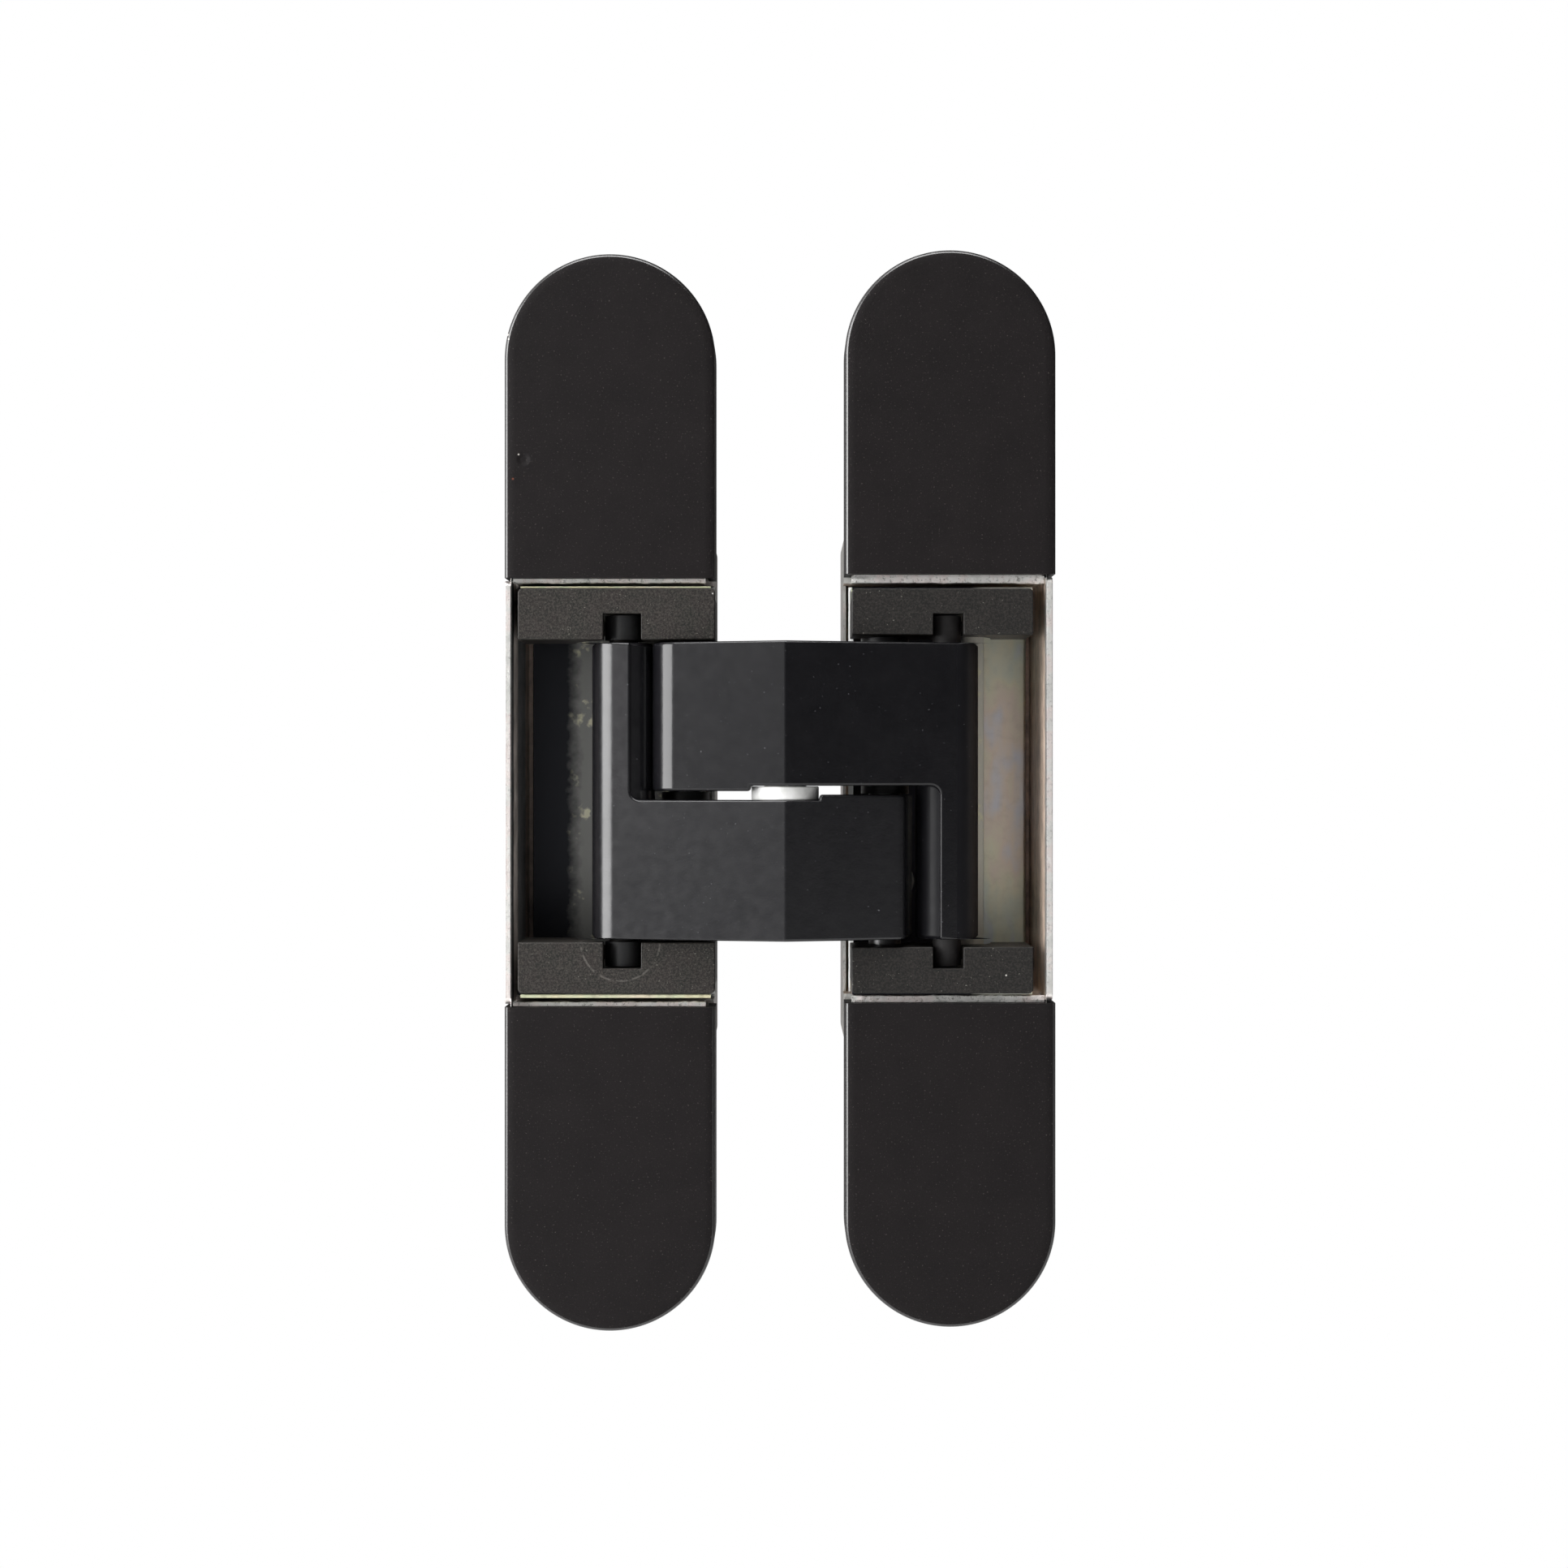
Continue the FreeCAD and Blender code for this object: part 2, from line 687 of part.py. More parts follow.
for half in (frame_half, leaf_half):
    export(half.name + "_case", case(half))
    top_cap = cap(half)
    export(half.name + "_cap_top", on_case(top_cap, half))
    export(half.name + "_cap_bottom", on_case(upside_down(top_cap), half))
    export(half.name + "_clamp_screws", clamp_screws(half))
    export(half.name + "_slider_plate", slider_plate(half))
    export(half.name + "_bracket", bracket(half))
    export(half.name + "_bracket_screws", bracket_screws(half))
    top_block = guide_block(half)
    export(half.name + "_block_top", on_side(top_block, half))
    export(half.name + "_block_bottom", on_side(upside_down(top_block), half))
    export(half.name + "_pivot_pin", pivot_pin(half))
    export(half.name + "_pivot_spacer", pivot_spacer(half))

upper = arm(upper_shoulder, upper_shoulder_front, upper_shoulder_radius, arm_mid)
lower = arm(lower_shoulder, lower_shoulder_front, lower_shoulder_radius, -arm_mid)
running_bore = centre_pin_radius + running_fit
export("upper_arm", bored_arm(upper, centre_pin_radius))
export("lower_arm", turned_over(bored_arm(lower, running_bore)))

for name, middle in (("upper_pivot_bush", arm_mid), ("lower_pivot_bush", -arm_mid)):
    bush = tube(-pivot_from_centre, pivot_depth, bush_radius,
                pivot_pin_radius + running_fit, middle + short_side_gap, arm_top)
    export(name, bush if name.startswith("upper") else turned_over(bush))

export("centre_pin", upright(0, -centre_height, centre_pin_radius, -centre_pin_end,
                             centre_pin_end))
export("centre_washer", tube(0, -centre_height, centre_washer_radius, running_bore,
                             arm_mid - tall_side_gap, arm_mid + tall_side_gap - end_play))

for half in (frame_half, leaf_half):
    axis_x = half.side * slide_from_centre
    export(half.name + "_slide_pin", upright(axis_x, slide_depth, slide_pin_radius,
                                             -slide_pin_end, slide_pin_end))
    sleeve_radius = half.slot_width / 2 - running_fit
    inner_end = arm_top + sleeve_end_gap
    if sleeve_radius > slide_pin_radius + least_sleeve_wall:
        top_sleeve = tube(axis_x, slide_depth, sleeve_radius, slide_pin_radius + running_fit,
                          inner_end, slide_pin_end)
        export(half.name + "_slide_sleeve_top", top_sleeve)
        export(half.name + "_slide_sleeve_bottom", upside_down(top_sleeve))
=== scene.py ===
# %% [markdown]
# # A concealed door hinge, laid open
# The solids of the hinge come in as a fixed frame: two die-cast cases, four black caps,
# folded brackets, guide blocks, crossed arms and their pins. This notebook gives each of
# them its finish, and builds the moulded, cast and worn surfaces that the plain solids lack.
# Every piece is in metres and in the place that the frame gives it.

# %% Load the frame
import json
import math

import bmesh
import bpy
import numpy as np
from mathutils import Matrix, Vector

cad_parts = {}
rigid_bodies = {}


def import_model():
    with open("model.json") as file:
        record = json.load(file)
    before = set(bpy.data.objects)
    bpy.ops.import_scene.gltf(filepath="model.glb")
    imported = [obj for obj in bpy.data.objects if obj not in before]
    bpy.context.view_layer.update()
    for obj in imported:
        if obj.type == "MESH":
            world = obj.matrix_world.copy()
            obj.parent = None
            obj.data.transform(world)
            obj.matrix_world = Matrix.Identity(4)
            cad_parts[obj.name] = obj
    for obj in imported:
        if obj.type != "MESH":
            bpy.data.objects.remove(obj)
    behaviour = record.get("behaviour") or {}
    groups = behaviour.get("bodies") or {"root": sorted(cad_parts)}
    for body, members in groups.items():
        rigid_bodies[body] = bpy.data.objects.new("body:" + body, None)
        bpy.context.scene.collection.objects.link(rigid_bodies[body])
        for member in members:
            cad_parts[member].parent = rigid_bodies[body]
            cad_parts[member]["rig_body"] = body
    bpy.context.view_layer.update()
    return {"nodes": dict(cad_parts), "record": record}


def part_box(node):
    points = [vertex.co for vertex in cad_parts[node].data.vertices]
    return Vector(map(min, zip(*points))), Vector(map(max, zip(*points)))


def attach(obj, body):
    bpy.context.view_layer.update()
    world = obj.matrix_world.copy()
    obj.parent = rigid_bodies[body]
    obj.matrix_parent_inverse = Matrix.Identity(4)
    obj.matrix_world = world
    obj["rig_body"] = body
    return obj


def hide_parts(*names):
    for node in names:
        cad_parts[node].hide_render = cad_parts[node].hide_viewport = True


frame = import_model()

MM = 0.001

# %% [markdown]
# ## Camera
# The picture was taken straight from the front. Lines that run into the hinge meet at the
# middle of the picture, so the camera looks square along +Y. How far they lean in gives its
# distance, about 31 cm, and the width of the caps gives the scale. The centre pin is found
# from its node, and the camera stands a few picture points beside it.

# %% Place the camera
picture_points = 1932
point_size = 0.0846 * MM
camera_distance = 310.0 * MM
picture_middle = picture_points / 2
pin_in_picture = (967.5, 974.6)

pin_low, pin_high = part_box("centre_pin")
pin_x = (pin_low.x + pin_high.x) / 2
pin_z = (pin_low.z + pin_high.z) / 2
face_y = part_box("frame_cap_top")[0].y

camera_x = pin_x - (pin_in_picture[0] - picture_middle) * point_size
camera_z = pin_z + (pin_in_picture[1] - picture_middle) * point_size
camera_data = bpy.data.cameras.new("camera")
camera_data.sensor_width = 36.0
camera_data.lens = camera_data.sensor_width * camera_distance / (picture_points * point_size)
camera_data.clip_start = 0.01
camera = bpy.data.objects.new("camera", camera_data)
camera.location = (camera_x, face_y - camera_distance, camera_z)
camera.rotation_euler = (math.pi / 2, 0, 0)
bpy.context.scene.collection.objects.link(camera)
bpy.context.scene.camera = camera
print("lens", round(camera_data.lens, 1), "mm, camera at", [round(v, 4) for v in camera.location])

# %% [markdown]
# ## From the picture to the hinge
# Small marks are placed by the picture point where they show. One picture point is a fixed
# step wide on the plane of the caps' faces.


# %% From a point in the picture to the hinge
def from_picture(across, down):
    """A picture point as (x, z) on the plane of the caps' faces."""
    x = camera_x + (across - picture_middle) * point_size
    z = camera_z - (down - picture_middle) * point_size
    return x, z


print("the pin lies at", [round(v / MM, 2) for v in from_picture(*pin_in_picture)], "mm")

# %% [markdown]
# ## Helpers for shader nodes
# The surroundings, the floor and all finishes are made from shader nodes. Three helpers keep
# that short: one adds any node and sets or links its inputs, one does a single sum, and one
# turns a value into a colour.

# %% Helpers for shader nodes


def add_node(tree, kind, inputs=None, **settings):
    """Adds a shader node. An input is a plain value, or the socket that feeds it."""
    made = tree.nodes.new(kind)
    for name, value in settings.items():
        setattr(made, name, value)
    for name, value in (inputs or {}).items():
        if isinstance(value, bpy.types.NodeSocket):
            tree.links.new(value, made.inputs[name])
        else:
            made.inputs[name].default_value = value
    return made


def calculate(tree, operation, first, second=0.0, third=0.0):
    """One Math node, with plain numbers or sockets."""
    return add_node(tree, "ShaderNodeMath", {0: first, 1: second, 2: third},
                    operation=operation).outputs[0]


def ramp(tree, factor, stops):
    """A colour ramp through stops of (place, colour), where a colour may be one grey value."""
    made = add_node(tree, "ShaderNodeValToRGB", {"Fac": factor})
    elements = made.color_ramp.elements
    while len(elements) < len(stops):
        elements.new(1.0)
    for element, (place, colour) in zip(elements, stops):
        element.position = place
        rgb = colour if isinstance(colour, tuple) else (colour, colour, colour)
        element.color = (*rgb, 1.0)
    return made.outputs["Color"]


# %% [markdown]
# ## Light
# The hinge is lit softly from the left, and the surroundings are bright on that side and dim
# on the other: left edges shine, and right-hand faces stay black. The surroundings are a
# smooth fade from right to left, but the camera itself sees plain white behind the hinge.

# %% Set up the surroundings
glow_stops = [(0.0, 0.05), (0.25, 0.08), (0.44, 0.13), (0.54, 0.26), (0.66, 0.48),
              (0.80, 0.75), (1.0, 0.95)]

scene = bpy.context.scene
scene.view_settings.view_transform = "Standard"
scene.view_settings.look = "None"
world = bpy.data.worlds.new("white room")
world.use_nodes = True
scene.world = world
sky = world.node_tree
sky.nodes.clear()
direction = add_node(sky, "ShaderNodeTexCoord").outputs["Generated"]
to_the_right = add_node(sky, "ShaderNodeSeparateXYZ", {"Vector": direction}).outputs["X"]
to_the_left = calculate(sky, "MULTIPLY_ADD", to_the_right, -0.5, 0.5)
glow = ramp(sky, to_the_left, glow_stops)
surroundings = add_node(sky, "ShaderNodeBackground", {"Color": glow, "Strength": 1.0})
white = add_node(sky, "ShaderNodeBackground", {"Color": (1.0, 1.0, 1.0, 1.0), "Strength": 1.0})
seen = add_node(sky, "ShaderNodeLightPath").outputs["Is Camera Ray"]
mixed = add_node(sky, "ShaderNodeMixShader", {
    0: seen, 1: surroundings.outputs[0], 2: white.outputs[0]})
add_node(sky, "ShaderNodeOutputWorld", {"Surface": mixed.outputs[0]})
print("surroundings fade over", len(glow.node.color_ramp.elements), "steps from right to left")

# %% [markdown]
# One large soft light on the left makes the bright stripe down every edge and round end that
# turns about 30 degrees to the left. A smaller one from above lights the upper edges. Each
# is placed by its angle from the camera's side, its angle above level and its distance.


# %% Add the soft lights
def soft_light(name, aim, azimuth, height, distance, size, power):
    """An area light, placed by its angle from the camera's side and its angle above level."""
    data = bpy.data.lights.new(name, "AREA")
    data.shape = "RECTANGLE"
    data.size, data.size_y = size
    data.energy = power
    light = bpy.data.objects.new(name, data)
    turn = math.radians(azimuth)
    rise = math.radians(height)
    away = Vector((-math.sin(turn) * math.cos(rise), -math.cos(turn) * math.cos(rise),
                   math.sin(rise)))
    light.location = aim + away * distance
    light.rotation_euler = away.to_track_quat("Z", "Y").to_euler()
    scene.collection.objects.link(light)


middle = Vector((pin_x, face_y, pin_z))
soft_light("key light", middle, azimuth=64, height=9, distance=0.80, size=(0.54, 0.80), power=11)
soft_light("top light", middle, azimuth=10, height=72, distance=0.80, size=(0.70, 0.35), power=6)

# %% [markdown]
# ## Floor
# A pale floor lies well below the hinge, so that its shadow falls out of the picture. Seen
# directly it is as white as the backdrop, and it sends a soft light up into the hinge. The
# floor isn't part of the hinge.

# %% Lay the floor
floor_drop = 160.0 * MM
floor_half = 3.0
floor_mesh = bpy.data.meshes.new("floor")
floor_z = pin_z - floor_drop
corners = [(-floor_half, -floor_half, floor_z), (floor_half, -floor_half, floor_z),
           (floor_half, floor_half, floor_z), (-floor_half, floor_half, floor_z)]
floor_mesh.from_pydata(corners, [], [(0, 1, 2, 3)])
floor = bpy.data.objects.new("floor", floor_mesh)
scene.collection.objects.link(floor)
paper = bpy.data.materials.new("pale floor")
paper.use_nodes = True
paper_tree = paper.node_tree
paper_shader = paper_tree.nodes["Principled BSDF"]
paper_shader.inputs["Base Color"].default_value = (0.85, 0.85, 0.85, 1.0)
paper_shader.inputs["Roughness"].default_value = 0.9
bright = add_node(paper_tree, "ShaderNodeEmission", {"Color": (1.0, 1.0, 1.0, 1.0)})
directly = add_node(paper_tree, "ShaderNodeLightPath").outputs["Is Camera Ray"]
either = add_node(paper_tree, "ShaderNodeMixShader", {
    0: directly, 1: paper_shader.outputs[0], 2: bright.outputs[0]})
paper_tree.links.new(either.outputs[0], paper_tree.nodes["Material Output"].inputs["Surface"])
floor_mesh.materials.append(paper)
print("floor", round(floor_drop / MM), "mm below the pin")

# %% [markdown]
# ## Finishes
# Each finish starts from the same few steps: a pattern that is fixed to the object, a ramp
# that turns it into colour, and a bump for the fine relief. Patterns read Object
# coordinates in metres, so a scale of 1000 makes spots about a millimetre across.


# %% Helpers for finishes
def finish(name):
    """A material with a bare Principled shader, and the object's own coordinates."""
    made = bpy.data.materials.new(name)
    made.use_nodes = True
    tree = made.node_tree
    shader = tree.nodes["Principled BSDF"]
    place = add_node(tree, "ShaderNodeTexCoord").outputs["Object"]
    return made, tree, shader, place


def noise(tree, place, scale, detail=3.0, roughness=0.5):
    """Smooth noise with spots about 1/scale metres across."""
    made = add_node(tree, "ShaderNodeTexNoise", {
        "Vector": place, "Scale": scale, "Detail": detail, "Roughness": roughness})
    return made.outputs["Fac"]


def stretched(tree, place, scales):
    """The same place with each axis scaled, for streaks along one axis."""
    return add_node(tree, "ShaderNodeMapping", {"Vector": place, "Scale": scales}).outputs[0]


def mix_colours(tree, factor, first, second, mode="MIX"):
    """Blends two colours. Each may be a plain colour or a socket."""
    made = add_node(tree, "ShaderNodeMix", data_type="RGBA", blend_type=mode)
    sockets = [s for s in made.inputs if s.type == "RGBA"]
    for socket, value in ((made.inputs[0], factor), (sockets[0], first), (sockets[1], second)):
        if isinstance(value, bpy.types.NodeSocket):
            tree.links.new(value, socket)
        elif isinstance(value, tuple):
            socket.default_value = (*value, 1.0)
        else:
            socket.default_value = value
    return [s for s in made.outputs if s.type == "RGBA"][0]


def relief(tree, shader, height, depth, strength=1.0, under=None):
    """Adds bump of a depth in metres, on top of an earlier bump if one is given."""
    inputs = {"Height": height, "Distance": depth, "Strength": strength}
    if under is not None:
        inputs["Normal"] = under
    made = add_node(tree, "ShaderNodeBump", inputs)
    tree.links.new(made.outputs["Normal"], shader.inputs["Normal"])
    return made.outputs["Normal"]


# %% [markdown]
# Some marks belong to one place. A value can be painted on a piece's faces, or a mark is
# placed by its picture point: a place's distance from that point makes a round spot or a
# ring. Depth counts for only a share of it, so a nick at a rim runs a little way down.

# %% Helpers for marks
depth_share = 0.15
sharp_share = 0.3


def painted(tree, name):
    """A value that was painted on the piece's faces."""
    return add_node(tree, "ShaderNodeAttribute", attribute_name=name).outputs["Fac"]


def distance_from(tree, place, across, down, depth_counts):
    """How far a place lies from a picture point, where depth counts for only a share."""
    x, z = from_picture(across, down)
    flat = add_node(tree, "ShaderNodeVectorMath", {0: place, 1: (1.0, depth_counts, 1.0)},
                    operation="MULTIPLY").outputs[0]
    return add_node(tree, "ShaderNodeVectorMath", {0: flat, 1: (x, depth_counts * face_y, z)},
                    operation="DISTANCE").outputs["Value"]


def fade(tree, distance, outer, inner, highest=1.0):
    """0 past the outer distance, rising smoothly to the highest value at the inner one."""
    return add_node(tree, "ShaderNodeMapRange", {
        "Value": distance, "From Min": outer, "From Max": inner, "To Max": highest},
        interpolation_type="SMOOTHSTEP").outputs["Result"]


def spot(tree, place, across, down, radius):
    """1 at a picture point, falling smoothly to 0 at radius."""
    away = distance_from(tree, place, across, down, depth_share)
    return fade(tree, away, radius, sharp_share * radius)


def spots(tree, place, marks):
    """Several spots at once, each (across, down, radius)."""
    total = spot(tree, place, *marks[0])
    for mark in marks[1:]:
        total = calculate(tree, "MAXIMUM", total, spot(tree, place, *mark))
    return total


# %% [markdown]
# ### Black cap plastic
# The caps are moulded in a warm black plastic with a fine spark-eroded grain. Tiny pale
# specks of dust and filler show in it. The grain scatters light, so the face has no gloss,
# but the rim is rubbed smooth and shines. One cap has a nick at its rim and a shallow dent.

# %% Cap plastic
speck_scale = 5200
cap_nicks = [(625.5, 412, 0.16 * MM), (626.5, 417.5, 0.13 * MM), (639, 560, 0.12 * MM)]
cap_rust = (632, 590, 0.16 * MM)
cap_dent = (645, 566, 0.80 * MM)


def cap_plastic(name, roughness, specular):
    """Warm black plastic with specks and marks. Its grain varies between two roughnesses."""
    made, tree, shader, place = finish(name)
    cloud = noise(tree, place, 260, 4.0)
    tint = ramp(tree, cloud, [(0.3, (0.0042, 0.0029, 0.0032)), (0.7, (0.0062, 0.0045, 0.0048))])
    specks = noise(tree, place, speck_scale, 2.0)
    dots = ramp(tree, specks, [(0.64, 0.0), (0.78, 1.0)])
    colour = mix_colours(tree, dots, tint, (0.060, 0.052, 0.048))
    colour = mix_colours(tree, spots(tree, place, cap_nicks), colour, (0.55, 0.52, 0.48))
    colour = mix_colours(tree, spot(tree, place, *cap_rust), colour, (0.12, 0.035, 0.020))
    tree.links.new(colour, shader.inputs["Base Color"])
    grain = noise(tree, place, 7000, 3.0)
    rough, smooth = roughness
    tree.links.new(ramp(tree, grain, [(0.3, smooth), (0.7, rough)]), shader.inputs["Roughness"])
    shader.inputs["Specular IOR Level"].default_value = specular
    dent = calculate(tree, "SUBTRACT", 1.0, spot(tree, place, *cap_dent))
    under = relief(tree, shader, dent, 0.10 * MM, 1.0)
    relief(tree, shader, grain, 0.012 * MM, 0.8, under)
    return made


rubbed_rim = cap_plastic("rubbed cap rim", (0.34, 0.28), 0.95)
print(len(cap_nicks), "nicks, a dent and a spot of rust on", rubbed_rim.name)

# %% [markdown]
# ### Guide block plastic
# The guide blocks are a tougher black plastic with a faint mottle, where glass fibre comes
# near the surface. It is a little lighter and warmer than the caps. Something round has
# left a faint, broken ring on the lower left block, and two blocks have a pale chip.

# %% Guide plastic
ring_centre = (764, 1160)
ring_radius = 4.15 * MM
ring_half_width = 0.16 * MM
guide_chips = [(1240, 1202, 0.14 * MM), (878, 731, 0.12 * MM)]


def guide_plastic(name, dark, light, pale_share):
    """Mottled black plastic, between two tints and a share of pale fibre."""
    made, tree, shader, place = finish(name)
    cloud = noise(tree, place, 420, 5.0, 0.65)
    mottle = noise(tree, place, 4600, 5.0, 0.8)
    tint = ramp(tree, cloud, [(0.40, dark), (0.60, light)])
    pale = ramp(tree, mottle, [(0.46, 0.0), (0.58, pale_share)])
    colour = mix_colours(tree, pale, tint, (0.072, 0.063, 0.055))
    specks = noise(tree, place, speck_scale, 1.0)
    dots = ramp(tree, specks, [(0.74, 0.0), (0.80, 1.0)])
    colour = mix_colours(tree, dots, colour, (0.18, 0.17, 0.15))
    away = distance_from(tree, place, *ring_centre, 0.0)
    off_ring = calculate(tree, "ABSOLUTE", calculate(tree, "SUBTRACT", away, ring_radius))
    ring = fade(tree, off_ring, ring_half_width, ring_half_width / 8, 0.55)
    broken = ramp(tree, noise(tree, place, 1500, 2.0), [(0.40, 0.0), (0.55, 1.0)])
    ring = calculate(tree, "MULTIPLY", ring, broken)
    colour = mix_colours(tree, ring, colour, (0.12, 0.11, 0.10))
    chips = spots(tree, place, guide_chips)
    colour = mix_colours(tree, chips, colour, (0.60, 0.58, 0.55))
    tree.links.new(colour, shader.inputs["Base Color"])
    rough = ramp(tree, mottle, [(0.3, 0.42), (0.7, 0.58)])
    tree.links.new(rough, shader.inputs["Roughness"])
    shader.inputs["Specular IOR Level"].default_value = 0.35
    relief(tree, shader, mottle, 0.010 * MM, 0.7)
    return made


print("a ring", round(2 * ring_radius / MM, 1), "mm across and", len(guide_chips), "chips")

# %% [markdown]
# ### Satin coating of the arms
# The arms are steel with a thin black coating. It flows a little before it cures, so its
# highlights have wavy borders, and it keeps a soft satin shine.

# %% Arm coating
arm_tints = [(0.0060, 0.0059, 0.0072), (0.0086, 0.0084, 0.0098)]


def arm_coating(name, roughness, specular, tone=1.0):
    """Satin black, lighter by tone. The coating's flow varies between two roughnesses."""
    made, tree, shader, place = finish(name)
    cloud = noise(tree, place, 300, 3.0)
    darkest, lightest = [tuple(tone * share for share in tint) for tint in arm_tints]
    tint = ramp(tree, cloud, [(0.3, darkest), (0.7, lightest)])
    specks = noise(tree, place, 4700, 1.0)
    dots = ramp(tree, specks, [(0.775, 0.0), (0.82, 1.0)])
    colour = mix_colours(tree, dots, tint, (0.14, 0.14, 0.15))
    tree.links.new(colour, shader.inputs["Base Color"])
    flow = noise(tree, place, 900, 3.0)
    smooth, rough = roughness
    tree.links.new(ramp(tree, flow, [(0.3, smooth), (0.7, rough)]), shader.inputs["Roughness"])
    shader.inputs["Specular IOR Level"].default_value = specular
    under = relief(tree, shader, flow, 0.018 * MM, 0.5)
    relief(tree, shader, noise(tree, place, speck_scale, 2.0), 0.004 * MM, 0.6, under)
    return made


# %% [markdown]
# ### Cast zinc
# The cases are die-cast zinc: bright and a little warm, with a skin that is wrinkled where
# the metal met the cold die. Pinkish and grey patches come from the release agent. Faces that
# look sideways or back are darkened, a painted shade. Inside the pockets the colour follows
# the depth in bands, partly stain and partly painted shade; in the left case one band is a
# painted light stripe, and in the right case the brown is partly a painted reflection of the
# floor. Each case has its own bands, as pairs of a depth below the caps' faces and a colour,
# and the piece's mask says where they start.

# %% Cast zinc
pocket_depth = 20.0 * MM
pocket_band_fade = 0.5 * MM
# Left pocket: the dark bands are painted shade, and the bright band from 3.9 to 8.2 mm is a
# painted light stripe. The brown band at the bottom is partly stain and partly painted shade.
frame_bands = [(0.0, 0.04), (3.4 * MM, 0.04), (3.9 * MM, (0.95, 0.84, 0.77)),
               (8.2 * MM, (0.80, 0.70, 0.64)), (8.8 * MM, 0.34), (17.0 * MM, 0.34),
               (18.5 * MM, (0.70, 0.58, 0.51))]
# Right pocket: darker near the top and brown below; the brown is partly stain and partly a painted
# reflection of the floor.
leaf_bands = [(0.0, (0.20, 0.16, 0.13)), (3.0 * MM, (0.72, 0.56, 0.45)),
              (12.0 * MM, (0.95, 0.74, 0.58)), (18.0 * MM, (0.90, 0.70, 0.56))]


def cast_zinc(name, bands, metal, pit_colour):
    """Bright casting. Inside a pocket it takes its colour from bands of (depth, colour)."""
    made, tree, shader, place = finish(name)
    patches = noise(tree, place, 330, 4.0, 0.6)
    tint = ramp(tree, patches, [
        (0.30, (0.70, 0.70, 0.67)), (0.45, (0.86, 0.85, 0.82)), (0.56, (0.88, 0.80, 0.77)),
        (0.72, (0.93, 0.92, 0.90))])
    pits = noise(tree, place, 2600, 4.0, 0.7)
    dark = ramp(tree, pits, [(0.32, pit_colour), (0.47, 1.0)])
    outside = mix_colours(tree, 0.8, tint, dark, "MULTIPLY")
    # Painted shade: faces marked as turned sideways or back are darkened.
    dull = painted(tree, "painted_shade_side")
    outside = mix_colours(tree, dull, outside, (0.60, 0.60, 0.59), "MULTIPLY")
    # Painted shade and stain: inside a pocket the colour comes from the bands, by depth below the
    # caps' faces.
    y = add_node(tree, "ShaderNodeSeparateXYZ", {"Vector": place}).outputs["Y"]
    depth = calculate(tree, "SUBTRACT", y, face_y)
    ragged = calculate(tree, "MULTIPLY_ADD", patches, 0.8 * MM, depth)
    share = calculate(tree, "DIVIDE", ragged, pocket_depth)
    pocket_shade_and_stain = ramp(tree, share, [(deep / pocket_depth, colour) for deep, colour in bands])
    blotches = ramp(tree, patches, [(0.35, 0.55), (0.65, 1.0)])
    pocket_shade_and_stain = mix_colours(tree, 1.0, pocket_shade_and_stain, blotches, "MULTIPLY")
    past_start = calculate(tree, "SUBTRACT", depth, painted(tree, "shade_and_stain_from"))
    within = add_node(tree, "ShaderNodeMapRange", {
        "Value": past_start, "From Max": pocket_band_fade}).outputs["Result"]
    tree.links.new(mix_colours(tree, within, outside, pocket_shade_and_stain), shader.inputs["Base Color"])
    tree.links.new(ramp(tree, within, [(0.0, metal), (1.0, 0.10)]), shader.inputs["Metallic"])
    rough = ramp(tree, pits, [(0.3, 0.50), (0.7, 0.34)])
    tree.links.new(rough, shader.inputs["Roughness"])
    under = relief(tree, shader, noise(tree, place, 1100, 4.0, 0.6), 0.07 * MM, 0.8)
    relief(tree, shader, pits, 0.03 * MM, 0.8, under)
    return made


print(len(frame_bands), "bands in the frame case,", len(leaf_bands), "in the leaf case")

# %% [markdown]
# ### Passivated steel
# The folded brackets and slider plates are zinc-plated, then dipped in a chromate bath. The
# film is so thin that it shows soft bands of yellow, green, pink and blue. It is deep and dark
# on most of the steel, and pale on the floor of the right pocket: partly the film's colour and
# partly painted light for that lit floor.

# %% Passivated steel
deep_film = [(0.34, 0.38, 0.38), (0.44, 0.47, 0.30), (0.60, 0.53, 0.30), (0.58, 0.42, 0.36),
             (0.46, 0.46, 0.48)]
pale_film = [(0.80, 0.86, 0.90), (0.86, 0.91, 0.78), (0.98, 0.95, 0.76), (0.98, 0.87, 0.76),
             (0.88, 0.88, 0.92)]


def passivated_steel(name, film, metallic, stain_share=0.6):
    """Zinc plating whose film drifts through a few colours, mostly across Z."""
    made, tree, shader, place = finish(name)
    drift = noise(tree, stretched(tree, place, (1.0, 1.0, 0.45)), 210, 3.0)
    hue = ramp(tree, drift, [(0.30 + 0.10 * step, colour) for step, colour in enumerate(film)])
    stains = noise(tree, place, 900, 4.0, 0.6)
    dark = ramp(tree, stains, [(0.30, (0.55, 0.55, 0.52)), (0.5, 1.0)])
    colour = mix_colours(tree, stain_share, hue, dark, "MULTIPLY")
    tree.links.new(colour, shader.inputs["Base Color"])
    shader.inputs["Metallic"].default_value = metallic
    shader.inputs["Roughness"].default_value = 0.42
    relief(tree, shader, noise(tree, place, 1800, 3.0), 0.012 * MM, 0.5)
    return made, tree, shader, place


print("films of", len(deep_film), "and", len(pale_film), "colours")
